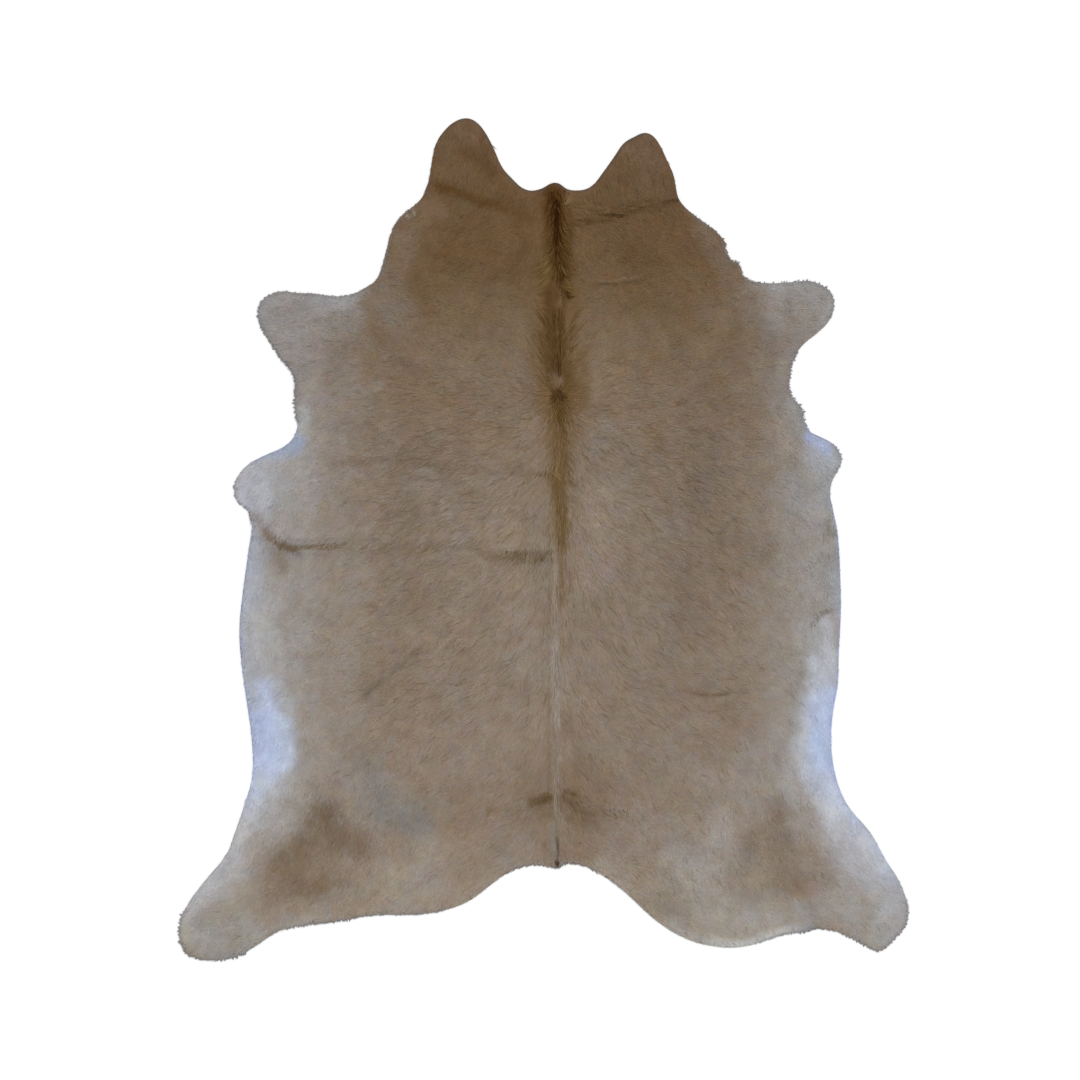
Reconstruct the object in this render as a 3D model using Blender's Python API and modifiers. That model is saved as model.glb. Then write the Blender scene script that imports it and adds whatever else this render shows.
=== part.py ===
"""A tanned cattle hide with its coat left on, cut along its natural edge and laid flat.

The hide is one sheet. It lies with the neck towards +Y, the coat up (+Z) and the skin side on
the plane z = 0. Its creases are low folds that lift the sheet a few millimetres off that plane.
All sizes are in metres.
"""

from collections import namedtuple
from math import cos, pi, sin

import bmesh
import bpy
from mathutils import Vector
from mathutils.geometry import intersect_point_line

# ---- Driving dimensions ------------------------------------------------------------------

SHEET_THICKNESS = 0.0042  # 2 mm of tanned skin under the coat, which lies flat on it
EDGE_STEPS = 3  # short straight cuts between two rows of an edge table
CELL = 0.075  # spacing of the square cells that the flat of the sheet is divided into
CUTTER_REACH = 0.02  # how far the edge's cutter stands above and below the sheet

COAT_COLOUR = (0.235, 0.165, 0.105, 1.0)
COAT_ROUGHNESS = 0.8

# ---- The cut edge ------------------------------------------------------------------------
# Clockwise seen from above. Each row is a spot on the edge: (x across, y towards the neck).

NECK_LOBE_LEFT = (
    (-0.304, 0.925),
    (-0.297, 0.958),
    (-0.290, 1.002),
    (-0.279, 1.040),
    (-0.257, 1.071),
    (-0.233, 1.091),
    (-0.206, 1.100),
    (-0.184, 1.095),
    (-0.159, 1.071),
    (-0.131, 1.020),
    (-0.108, 0.970),
)
NECK_HOLLOW = (
    (-0.087, 0.946),
    (-0.045, 0.912),
    (-0.008, 0.915),
    (0.024, 0.931),
    (0.042, 0.928),
    (0.057, 0.916),
    (0.084, 0.911),
    (0.120, 0.919),
)
NECK_LOBE_RIGHT = (
    (0.155, 0.959),
    (0.189, 1.007),
    (0.208, 1.034),
    (0.236, 1.051),
    (0.264, 1.062),
    (0.282, 1.056),
    (0.297, 1.040),
    (0.325, 0.983),
    (0.339, 0.952),
    (0.345, 0.920),
)
SHOULDER_RIGHT = (
    (0.354, 0.886),
    (0.395, 0.845),
    (0.445, 0.808),
    (0.465, 0.787),
    (0.477, 0.750),
    (0.492, 0.725),
    (0.506, 0.723),
    (0.520, 0.686),
    (0.552, 0.672),
)
FORELEG_RIGHT = (
    (0.605, 0.668),
    (0.660, 0.672),
    (0.694, 0.674),
    (0.722, 0.665),
    (0.746, 0.648),
    (0.757, 0.627),
    (0.756, 0.597),
    (0.745, 0.570),
    (0.716, 0.540),
    (0.681, 0.512),
)
ARMPIT_RIGHT = (
    (0.660, 0.486),
    (0.647, 0.459),
    (0.640, 0.420),
    (0.644, 0.378),
    (0.673, 0.340),
    (0.681, 0.309),
    (0.694, 0.282),
)
BELLY_RIGHT = (
    (0.722, 0.267),
    (0.751, 0.252),
    (0.771, 0.230),
    (0.776, 0.205),
    (0.766, 0.176),
    (0.752, 0.147),
    (0.748, 0.118),
)
FLANK_RIGHT = (
    (0.755, 0.080),
    (0.767, 0.020),
    (0.775, -0.100),
    (0.776, -0.205),
    (0.771, -0.295),
    (0.768, -0.385),
    (0.757, -0.445),
    (0.751, -0.530),
    (0.758, -0.598),
    (0.775, -0.658),
)
HIND_LEG_RIGHT = (
    (0.798, -0.702),
    (0.855, -0.770),
    (0.895, -0.842),
    (0.926, -0.890),
    (0.950, -0.955),
    (0.951, -0.985),
    (0.943, -1.013),
    (0.906, -1.055),
    (0.892, -1.069),
    (0.878, -1.076),
    (0.823, -1.052),
    (0.764, -1.026),
    (0.705, -1.018),
    (0.682, -1.027),
    (0.640, -1.030),
)
HAUNCH_RIGHT = (
    (0.588, -1.047),
    (0.520, -1.066),
    (0.440, -1.064),
    (0.361, -1.040),
    (0.287, -0.992),
    (0.211, -0.922),
    (0.144, -0.873),
    (0.105, -0.853),
)
TAIL_STUB = (
    (0.068, -0.848),
    (0.048, -0.850),
    (0.042, -0.859),
    (0.030, -0.859),
    (-0.015, -0.851),
    (-0.048, -0.854),
)
HAUNCH_LEFT = (
    (-0.080, -0.863),
    (-0.151, -0.914),
    (-0.187, -0.941),
    (-0.247, -0.967),
    (-0.335, -0.981),
    (-0.444, -0.983),
    (-0.520, -0.995),
    (-0.652, -1.013),
    (-0.684, -1.021),
)
HIND_LEG_LEFT = (
    (-0.740, -1.055),
    (-0.775, -1.078),
    (-0.812, -1.094),
    (-0.860, -1.100),
    (-0.915, -1.093),
    (-0.939, -1.077),
    (-0.951, -1.040),
    (-0.950, -1.008),
    (-0.940, -0.972),
    (-0.888, -0.896),
    (-0.828, -0.822),
    (-0.809, -0.772),
    (-0.780, -0.686),
)
FLANK_LEFT = (
    (-0.763, -0.625),
    (-0.763, -0.530),
    (-0.778, -0.415),
    (-0.791, -0.320),
    (-0.796, -0.235),
    (-0.787, -0.140),
    (-0.771, -0.025),
    (-0.763, 0.040),
)
BELLY_LEFT = (
    (-0.772, 0.073),
    (-0.802, 0.102),
    (-0.808, 0.130),
    (-0.803, 0.159),
    (-0.776, 0.192),
    (-0.726, 0.220),
    (-0.685, 0.238),
    (-0.658, 0.260),
)
ARMPIT_LEFT = (
    (-0.645, 0.288),
    (-0.643, 0.315),
    (-0.648, 0.340),
    (-0.650, 0.376),
    (-0.648, 0.406),
    (-0.655, 0.434),
)
FORELEG_LEFT = (
    (-0.692, 0.482),
    (-0.726, 0.535),
    (-0.743, 0.572),
    (-0.746, 0.600),
    (-0.734, 0.623),
    (-0.714, 0.639),
    (-0.685, 0.647),
    (-0.640, 0.642),
    (-0.605, 0.642),
    (-0.546, 0.634),
    (-0.500, 0.640),
)
SHOULDER_LEFT = (
    (-0.460, 0.661),
    (-0.439, 0.675),
    (-0.425, 0.705),
    (-0.412, 0.750),
    (-0.399, 0.800),
    (-0.378, 0.839),
    (-0.321, 0.889),
)

EDGE = (
    NECK_LOBE_LEFT
    + NECK_HOLLOW
    + NECK_LOBE_RIGHT
    + SHOULDER_RIGHT
    + FORELEG_RIGHT
    + ARMPIT_RIGHT
    + BELLY_RIGHT
    + FLANK_RIGHT
    + HIND_LEG_RIGHT
    + HAUNCH_RIGHT
    + TAIL_STUB
    + HAUNCH_LEFT
    + HIND_LEG_LEFT
    + FLANK_LEFT
    + BELLY_LEFT
    + ARMPIT_LEFT
    + FORELEG_LEFT
    + SHOULDER_LEFT
)

# ---- The folds ---------------------------------------------------------------------------
# A ridge is highest on its route. A trough has its route at the floor, between two soft
# shoulders. half_width is the distance from the route to where the sheet lies flat again.
# Each row of a route is (x, y, rise of the sheet there).

Fold = namedtuple("Fold", "form half_width route")

SPINE_GROOVE = Fold(
    "trough",
    0.034,
    (
        (0.033, 0.920, 0.0020),
        (0.033, 0.640, 0.0030),
        (0.034, 0.420, 0.0015),
        (0.042, 0.150, 0.0025),
        (0.041, -0.060, 0.0010),
        (0.036, -0.160, 0.0),
    ),
)
SPINE_RIDGE = Fold(
    "ridge",
    0.022,
    (
        (0.028, 0.040, 0.0),
        (0.028, -0.120, 0.0022),
        (0.034, -0.420, 0.0028),
        (0.034, -0.660, 0.0022),
        (0.036, -0.770, 0.0030),
        (0.034, -0.846, 0.0026),
    ),
)
NECK_LOBE_FOLD_LEFT = Fold(
    "trough",
    0.034,
    (
        (-0.300, 0.930, 0.0020),
        (-0.219, 0.912, 0.0032),
        (-0.150, 0.893, 0.0022),
        (-0.095, 0.872, 0.0),
    ),
)
NECK_LOBE_FOLD_RIGHT = Fold(
    "trough",
    0.022,
    (
        (0.120, 0.852, 0.0),
        (0.170, 0.850, 0.0030),
        (0.217, 0.863, 0.0034),
        (0.290, 0.876, 0.0022),
        (0.346, 0.893, 0.0012),
    ),
)
HUMP_RIPPLE = Fold(
    "trough",
    0.020,
    ((0.160, 0.664, 0.0), (0.205, 0.675, 0.0018), (0.280, 0.684, 0.0)),
)
FORELEG_CREASE = Fold(
    "trough",
    0.024,
    ((-0.672, 0.458, 0.0012), (-0.610, 0.455, 0.0016), (-0.540, 0.450, 0.0)),
)
RIB_CREASE = Fold(
    "trough",
    0.024,
    ((-0.660, 0.204, 0.0), (-0.480, 0.204, 0.0014), (-0.290, 0.178, 0.0)),
)
RIB_NICK = Fold(
    "trough",
    0.020,
    ((-0.040, 0.174, 0.0), (0.000, 0.175, 0.0022), (0.034, 0.176, 0.0)),
)
FLANK_TROUGH = Fold(
    "trough",
    0.036,
    (
        (-0.752, 0.036, 0.0018),
        (-0.703, -0.006, 0.0046),
        (-0.640, -0.024, 0.0052),
        (-0.520, -0.012, 0.0034),
        (-0.340, -0.018, 0.0016),
        (-0.180, -0.016, 0.0),
    ),
)
BACK_TROUGH = Fold(
    "trough",
    0.028,
    ((-0.140, -0.044, 0.0), (-0.085, -0.046, 0.0042), (-0.015, -0.049, 0.0046), (0.030, -0.052, 0.0)),
)
RUMP_TROUGH_LEFT = Fold(
    "trough",
    0.026,
    ((-0.170, -0.716, 0.0), (-0.080, -0.700, 0.0016), (-0.012, -0.686, 0.0040), (0.028, -0.682, 0.0)),
)
RUMP_TROUGH_RIGHT = Fold(
    "trough",
    0.026,
    ((0.040, -0.662, 0.0), (0.084, -0.676, 0.0026), (0.150, -0.716, 0.0014), (0.260, -0.732, 0.0)),
)
THIGH_CREASE = Fold(
    "trough",
    0.022,
    ((0.395, -0.396, 0.0), (0.440, -0.402, 0.0018), (0.500, -0.416, 0.0)),
)
FLANK_PUCKER = Fold(
    "ridge",
    0.018,
    ((0.700, 0.044, 0.0), (0.738, 0.026, 0.0028), (0.762, 0.016, 0.0022)),
)
FLANK_WRINKLE = Fold(
    "ridge",
    0.016,
    ((0.700, -0.184, 0.0), (0.728, -0.226, 0.0024), (0.764, -0.262, 0.0016)),
)

FOLDS = (
    SPINE_GROOVE,
    SPINE_RIDGE,
    NECK_LOBE_FOLD_LEFT,
    NECK_LOBE_FOLD_RIGHT,
    HUMP_RIPPLE,
    FORELEG_CREASE,
    RIB_CREASE,
    RIB_NICK,
    FLANK_TROUGH,
    BACK_TROUGH,
    RUMP_TROUGH_LEFT,
    RUMP_TROUGH_RIGHT,
    THIGH_CREASE,
    FLANK_PUCKER,
    FLANK_WRINKLE,
)
FOLD_LINES = (-1.0, -0.75, -0.5, -0.25, 0.0, 0.25, 0.5, 0.75, 1.0)  # shares of half_width


def new_collection(name):
    """A collection in the scene."""
    made = bpy.data.collections.new(name)
    bpy.context.scene.collection.children.link(made)
    return made


def edge_curve(collection):
    """The closed, smooth outline of the hide as a filled curve, standing through the sheet."""
    curve = bpy.data.curves.new("edge_cutter", "CURVE")
    curve.dimensions = "2D"
    curve.fill_mode = "BOTH"
    curve.resolution_u = EDGE_STEPS
    curve.extrude = SHEET_THICKNESS + CUTTER_REACH
    spline = curve.splines.new("BEZIER")
    spline.bezier_points.add(len(EDGE) - 1)
    for point, (x, y) in zip(spline.bezier_points, EDGE):
        point.co = (x, y, 0.0)
        point.handle_left_type = "AUTO"
        point.handle_right_type = "AUTO"
    spline.use_cyclic_u = True
    made = bpy.data.objects.new("edge_cutter", curve)
    collection.objects.link(made)
    return made


def as_mesh(source, name, collection):
    """A mesh object in place of source, as its modifiers and its curve make it."""
    bpy.context.view_layer.update()
    evaluated = source.evaluated_get(bpy.context.evaluated_depsgraph_get())
    mesh = bpy.data.meshes.new_from_object(evaluated)
    made = bpy.data.objects.new(name, mesh)
    made.matrix_world = source.matrix_world.copy()
    collection.objects.link(made)
    bpy.data.objects.remove(source)
    return made


def edge_cutter(collection):
    """A closed prism whose wall is the hide's cut edge."""
    cutter = as_mesh(edge_curve(collection), "edge_wall", collection)
    bm = bmesh.new()
    bm.from_mesh(cutter.data)
    bmesh.ops.remove_doubles(bm, verts=bm.verts, dist=1e-5)
    bmesh.ops.recalc_face_normals(bm, faces=bm.faces)
    bm.to_mesh(cutter.data)
    bm.free()
    cutter.hide_render = True
    cutter.display_type = "WIRE"
    return cutter


def blank(collection):
    """A flat slab of square cells, a little larger than the hide, with its underside at z = 0."""
    across = max(abs(x) for x, y in EDGE) + CELL
    along = max(abs(y) for x, y in EDGE) + CELL
    bpy.ops.mesh.primitive_grid_add(
        x_subdivisions=round(2 * across / CELL),
        y_subdivisions=round(2 * along / CELL),
        size=2.0,
        location=(0.0, 0.0, SHEET_THICKNESS),
    )
    made = bpy.context.object
    made.scale = (across, along, 1.0)
    bpy.ops.object.transform_apply(location=True, rotation=False, scale=True)
    thicken = made.modifiers.new("thickness", "SOLIDIFY")
    thicken.thickness = SHEET_THICKNESS
    thicken.offset = -1.0
    for owner in list(made.users_collection):
        owner.objects.unlink(made)
    collection.objects.link(made)
    return made


def from_leg(place, start, end):
    """How far place is from the leg between two rows of a route, and the rise beside it."""
    a, b = Vector(start[:2]), Vector(end[:2])
    share = min(1.0, max(0.0, intersect_point_line(place, a, b)[1]))
    distance = (place - a.lerp(b, share)).length
    return distance, start[2] + share * (end[2] - start[2])


def is_beside_leg(place, start, end, reach):
    """Whether place lies between the ends of a leg and within reach of it."""
    nearest, share = intersect_point_line(place, Vector(start[:2]), Vector(end[:2]))
    return 0.0 <= share <= 1.0 and (place - nearest).length < reach


def rise_from(fold, place):
    """How far one fold lifts the sheet at place."""
    legs = zip(fold.route, fold.route[1:])
    distance, rise = min(from_leg(place, start, end) for start, end in legs)
    across = distance / fold.half_width
    if across >= 1.0:
        return 0.0
    if fold.form == "ridge":
        return rise * cos(across * pi / 2) ** 2
    return rise * sin(across * pi) ** 2


def cut_fold_lines(bm, fold):
    """Divides the faces along a fold's route, so that the sheet can bend there."""
    reach = fold.half_width + CELL / 2
    for start, end in zip(fold.route, fold.route[1:]):
        a, b = Vector(start[:2]), Vector(end[:2])
        aside = Vector((a.y - b.y, b.x - a.x)).normalized()
        for share in FOLD_LINES:
            near = [
                face
                for face in bm.faces
                if is_beside_leg(face.calc_center_median().xy, start, end, reach)
            ]
            around = {part for face in near for part in (*face.verts, *face.edges)}
            line = a + aside * share * fold.half_width
            bmesh.ops.bisect_plane(
                bm,
                geom=[*near, *around],
                dist=1e-5,
                plane_co=(line.x, line.y, 0.0),
                plane_no=(aside.x, aside.y, 0.0),
            )


def fold_sheet(hide):
    """Lifts the sheet along its folds, at one thickness all over."""
    bm = bmesh.new()
    bm.from_mesh(hide.data)
    for fold in FOLDS:
        cut_fold_lines(bm, fold)
    bmesh.ops.triangulate(bm, faces=bm.faces)
    for vertex in bm.verts:
        vertex.co.z += max(rise_from(fold, vertex.co.xy) for fold in FOLDS)
    bmesh.ops.recalc_face_normals(bm, faces=bm.faces)
    bm.to_mesh(hide.data)
    bm.free()


def coat_material():
    """Tan cattle hair over tanned skin."""
    made = bpy.data.materials.new("hide_coat")
    made.use_nodes = True
    shader = made.node_tree.nodes["Principled BSDF"]
    shader.inputs["Base Color"].default_value = COAT_COLOUR
    shader.inputs["Roughness"].default_value = COAT_ROUGHNESS
    shader.inputs["Metallic"].default_value = 0.0
    return made


def make_hide(parts, cutters):
    """The whole hide: a blank, cut along its edge and folded."""
    slab = blank(parts)
    trim = slab.modifiers.new("cut_edge", "BOOLEAN")
    trim.operation = "INTERSECT"
    trim.object = edge_cutter(cutters)
    hide = as_mesh(slab, "hide", parts)
    fold_sheet(hide)
    hide.data.materials.clear()
    hide.data.materials.append(coat_material())
    return hide


for leftover in list(bpy.data.objects):
    bpy.data.objects.remove(leftover)

make_hide(new_collection("cattle_hide"), new_collection("cutters"))
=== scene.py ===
import math

import bmesh
import bpy
import numpy as np
from mathutils.bvhtree import BVHTree
from mathutils.geometry import delaunay_2d_cdt
from mathutils.kdtree import KDTree
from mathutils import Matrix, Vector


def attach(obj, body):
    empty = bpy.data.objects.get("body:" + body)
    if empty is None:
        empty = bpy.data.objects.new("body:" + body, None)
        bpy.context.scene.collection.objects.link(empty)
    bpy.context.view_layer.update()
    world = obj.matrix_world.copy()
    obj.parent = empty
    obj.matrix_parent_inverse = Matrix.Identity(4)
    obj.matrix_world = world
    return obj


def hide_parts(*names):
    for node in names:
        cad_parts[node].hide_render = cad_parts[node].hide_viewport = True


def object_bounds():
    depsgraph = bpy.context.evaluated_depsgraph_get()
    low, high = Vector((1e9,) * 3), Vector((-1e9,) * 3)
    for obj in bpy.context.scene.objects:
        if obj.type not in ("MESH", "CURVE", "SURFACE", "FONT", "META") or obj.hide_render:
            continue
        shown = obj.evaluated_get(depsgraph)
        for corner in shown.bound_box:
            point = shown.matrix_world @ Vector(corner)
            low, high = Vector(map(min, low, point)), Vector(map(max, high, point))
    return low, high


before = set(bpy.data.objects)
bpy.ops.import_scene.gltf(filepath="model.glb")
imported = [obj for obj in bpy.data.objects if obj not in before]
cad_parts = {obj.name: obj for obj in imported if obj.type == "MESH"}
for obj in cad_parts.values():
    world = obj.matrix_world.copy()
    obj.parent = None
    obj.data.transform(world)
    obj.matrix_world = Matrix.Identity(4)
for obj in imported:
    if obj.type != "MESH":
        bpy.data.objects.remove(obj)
cad_low, cad_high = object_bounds()
bpy.ops.object.select_all(action="DESELECT")


# ---- The tanned skin ------------------------------------------------------------------
# One whole cattle hide, tanned with its hair on and cut round its edge with a knife. The
# skin is about 2 mm thick and lies on its pale flesh side, with the soft folds that it got
# in storage. Its colours are those of the short coat that grows on its upper side, darkened
# by painted shade where the skin shows under the hair and along its cut edge.

# How the skin's rim is found on the solid, spaced and softened.
WELD = 1e-5
FLAT_NORMAL = 0.9
WALL_NORMAL = 0.5
RIM_STEP = 0.006
FINE_RIM_STEP = 0.001
RIM_SOFTENING = 0.008
# How the hide's height is measured, node by node, and how near the rim it is still read.
FIELD_STEP = 0.004
FIELD_MARGIN = 0.03
RAY_HEIGHT = 0.1
RIM_STEP_BACK = 0.0015
RIM_LEAST_AWAY = 0.0005
HEIGHT_SOFTENING = 2
# The skin lies this deep under the coat, and has a low wave of its own inside its rim.
COAT_DEPTH = 0.0019
WAVE_HEIGHT = 0.0005
WAVES = ((1, 0.16, 1), (0.5, 0.07, 2))
WAVE_INSETS = (0.01, 0.06)
LATTICE = 256
LATTICE_START = 1000
SKIN_CELL = 0.014
SKIN_CELL_JITTER = 0.08
SKIN_CELL_INSET = 0.006
ROW_TO_CELL = 0.866
# How high up the cut its middle edge is, and the painted shade of its sides against the
# coat's colour: the upper side is darkened for the shade under the hair, the cut edge for
# its shadow.
CUT_EDGE_MIDDLE = 0.55
FLESH_SIDE = (196, 184, 166)
UNDERCOAT_SHADE = 0.85
CUT_EDGE_SHADE = 0.72
# The skin's flat map: how far its upper and flesh sides are moved and scaled, then the
# ends of the strips of the cut edge, and where the strips start and how long they are.
UPPER_MAP = (0.01, 0.42)
FLESH_MAP = ((0.83, 0.02), (0.08, 0.1))
EDGE_STRIPS = ((0.98, 0.92), (0.98, 0.92), (0.92, 0.86), (0.92, 0.86))
EDGE_RUN = (0.28, 0.7)


def linear(red, green, blue):
    """Turns a colour as it is seen, 0 to 255, into the shader's linear one."""
    seen = np.array([red, green, blue]) / 255
    return np.where(seen <= 0.04045, seen / 12.92, ((seen + 0.055) / 1.055) ** 2.4)


def smooth(low, high, value):
    """Rises softly from 0 at low to 1 at high."""
    share = np.clip((value - low) / (high - low), 0, 1)
    return share * share * (3 - 2 * share)


def between(ends, value):
    """Gives 1 between the inner two of four ends, and falls softly to 0 at the outer two."""
    return smooth(*ends[:2], value) * (1 - smooth(*ends[2:], value))


def cut_rim(solid):
    """Walks once round the lower edge of the cut, counter-clockwise from above."""
    onward = {}
    for face in solid.faces:
        if face.normal.z > -FLAT_NORMAL:
            continue
        for corner in face.loops:
            beside = [f for f in corner.edge.link_faces if f is not face]
            if beside and abs(beside[0].normal.z) < WALL_NORMAL:
                onward[corner.vert] = corner.link_loop_next.vert
    first = next(iter(onward))
    walk = [first]
    while onward[walk[-1]] is not first:
        walk.append(onward[walk[-1]])
    return np.array([(v.co.x, v.co.y) for v in reversed(walk)])


def evenly(rim, step):
    """Spaces the points of the closed rim evenly and takes the corners off it."""
    closed = np.vstack([rim, rim[:1]])
    run = np.concatenate([[0], np.cumsum(np.hypot(*np.diff(closed, axis=0).T))])
    count = int(run[-1] / step)
    stops = np.linspace(0, run[-1], count, endpoint=False)
    even = np.column_stack([np.interp(stops, run, closed[:, k]) for k in (0, 1)])
    for _ in range(int(RIM_SOFTENING / step)):
        even = (np.roll(even, 1, axis=0) + 2 * even + np.roll(even, -1, axis=0)) / 4
    return even


solid = bmesh.new()
solid.from_mesh(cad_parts["hide"].data)
bmesh.ops.remove_doubles(solid, verts=solid.verts, dist=WELD)
solid.normal_update()
rim = evenly(cut_rim(solid), RIM_STEP)
fine_rim = evenly(cut_rim(solid), FINE_RIM_STEP)
upper_side = BVHTree.FromBMesh(solid)
rim_finder = KDTree(len(fine_rim))
for number, point in enumerate(fine_rim):
    rim_finder.insert((point[0], point[1], 0), number)
rim_finder.balance()
field_x = np.arange(cad_low.x - FIELD_MARGIN, cad_high.x + FIELD_MARGIN, FIELD_STEP)
field_y = np.arange(cad_low.y - FIELD_MARGIN, cad_high.y + FIELD_MARGIN, FIELD_STEP)


def inside_rim():
    """Says for each node of the field whether it is on the hide."""
    ahead = np.roll(fine_rim, -1, axis=0)
    inside = np.zeros((len(field_y), len(field_x)), bool)
    for row, y in enumerate(field_y):
        crosses = (fine_rim[:, 1] <= y) != (ahead[:, 1] <= y)
        a, b = fine_rim[crosses], ahead[crosses]
        meets = np.sort(a[:, 0] + (y - a[:, 1]) * (b[:, 0] - a[:, 0]) / (b[:, 1] - a[:, 1]))
        inside[row] = np.searchsorted(meets, field_x) % 2 == 1
    return inside


def measure_fields():
    """Measures how far each node is from the rim, inwards, and how high the hide lies there."""
    inside = inside_rim()
    inset = np.zeros(inside.shape)
    height = np.zeros(inside.shape)
    for row, y in enumerate(field_y):
        for column, x in enumerate(field_x):
            near, _, away = rim_finder.find((x, y, 0))
            side = 1 if inside[row, column] else -1
            inset[row, column] = side * away
            seen_x, seen_y = x, y
            if side * away < RIM_STEP_BACK:
                back = -side * RIM_STEP_BACK / max(away, RIM_LEAST_AWAY)
                seen_x, seen_y = near.x + (near.x - x) * back, near.y + (near.y - y) * back
            hit = upper_side.ray_cast((seen_x, seen_y, RAY_HEIGHT), (0, 0, -1))[0]
            height[row, column] = hit.z if hit else np.nan
    height[np.isnan(height)] = np.nanmedian(height)
    for _ in range(HEIGHT_SOFTENING):
        for axis in (0, 1):
            height = (np.roll(height, 1, axis) + 2 * height + np.roll(height, -1, axis)) / 4
    return inset, height


def read(field, x, y):
    """Reads a field between its nodes."""
    across = np.clip((x - field_x[0]) / FIELD_STEP, 0, len(field_x) - 1.001)
    along = np.clip((y - field_y[0]) / FIELD_STEP, 0, len(field_y) - 1.001)
    column, row = across.astype(int), along.astype(int)
    a, b = across - column, along - row
    near = field[row, column] * (1 - a) + field[row, column + 1] * a
    far = field[row + 1, column] * (1 - a) + field[row + 1, column + 1] * a
    return near * (1 - b) + far * b


def clouds(x, y, cell, number):
    """Soft random patches of about one cell, from -1 to 1, the same on each run."""
    lattice = np.random.default_rng(number).uniform(-1, 1, (LATTICE, LATTICE))
    across, along = x / cell + LATTICE_START, y / cell + LATTICE_START
    column, row = np.floor(across).astype(int), np.floor(along).astype(int)
    a, b = smooth(0, 1, across - column), smooth(0, 1, along - row)
    column, row, right, up = (k % LATTICE for k in (column, row, column + 1, row + 1))
    near = lattice[row, column] * (1 - a) + lattice[row, right] * a
    far = lattice[up, column] * (1 - a) + lattice[up, right] * a
    return near * (1 - b) + far * b


def cloudy(x, y, layers):
    """Adds up clouds of several depths and sizes."""
    return sum(depth * clouds(x, y, cell, number) for depth, cell, number in layers)


inset_field, height_field = measure_fields()
solid.free()


def skin_top(x, y):
    """Gives the height of the skin's upper side, below the lying coat."""
    inset = read(inset_field, x, y)
    waves = cloudy(x, y, WAVES) * smooth(*WAVE_INSETS, inset)
    return read(height_field, x, y) - COAT_DEPTH + WAVE_HEIGHT * waves


# The spine's line, as heights along the hide and its place across at each, and the coat's
# colour beside it: name of the part, height along the hide, colour as seen. On the body the
# coat pales towards the belly, between two distances from the spine. The back is the part
# where its hair is longest.
SPINE = (
    (-1.1, -0.85, -0.3, 0.1, 0.4, 1.1),
    (0.036, 0.036, 0.034, 0.042, 0.038, 0.03),
)
TONES = (
    ("hind legs", -1.05, (148, 137, 124)),
    ("haunches", -0.80, (140, 126, 112)),
    ("loin", -0.45, (136, 121, 106)),
    ("ribs", 0.00, (134, 119, 103)),
    ("chest", 0.22, (130, 114, 97)),
    ("withers", 0.38, (126, 108, 89)),
    ("shoulders", 0.52, (120, 101, 80)),
    ("hump", 0.68, (110, 88, 64)),
    ("neck", 0.85, (104, 81, 57)),
    ("cheeks", 1.15, (106, 84, 62)),
)
BELLY_SIDE = (166, 163, 162)
BELLY_SHARE = 0.72
BELLY_DISTANCES = (0.41, 0.82)
BODY_ENDS = (-0.86, -0.7, 0.42, 0.56)
BACK_DISTANCES = (0.3, 0.65)
BACK_ENDS = (-0.75, -0.4, 0.3, 0.55)
# Where the coat is darker it is also browner: how strongly red, green and blue vary with it.
CLOUD_DEPTHS = (0.82, 0.98, 1.3)
# Soft clouds in the tone: depth, size and number of the pattern of each. They vary how
# light the coat is, how light its back is, how warm it is and how olive it is.
LIGHT_CLOUDS = ((0.03, 0.13, 7), (0.055, 0.05, 8), (0.05, 0.011, 12), (0.035, 0.006, 18))
BACK_CLOUDS = ((0.06, 0.022, 10),)
WARM_CLOUDS = ((0.025, 0.11, 5), (0.045, 0.03, 6), (0.04, 0.013, 13), (0.03, 0.007, 19))
OLIVE_CLOUDS = ((0.015, 0.05, 14), (0.03, 0.02, 15), (0.04, 0.01, 17))
# How the seen colour is scaled to become that of the hair itself, which shades itself a little.
HAIR_GAIN = 1.023
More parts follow.
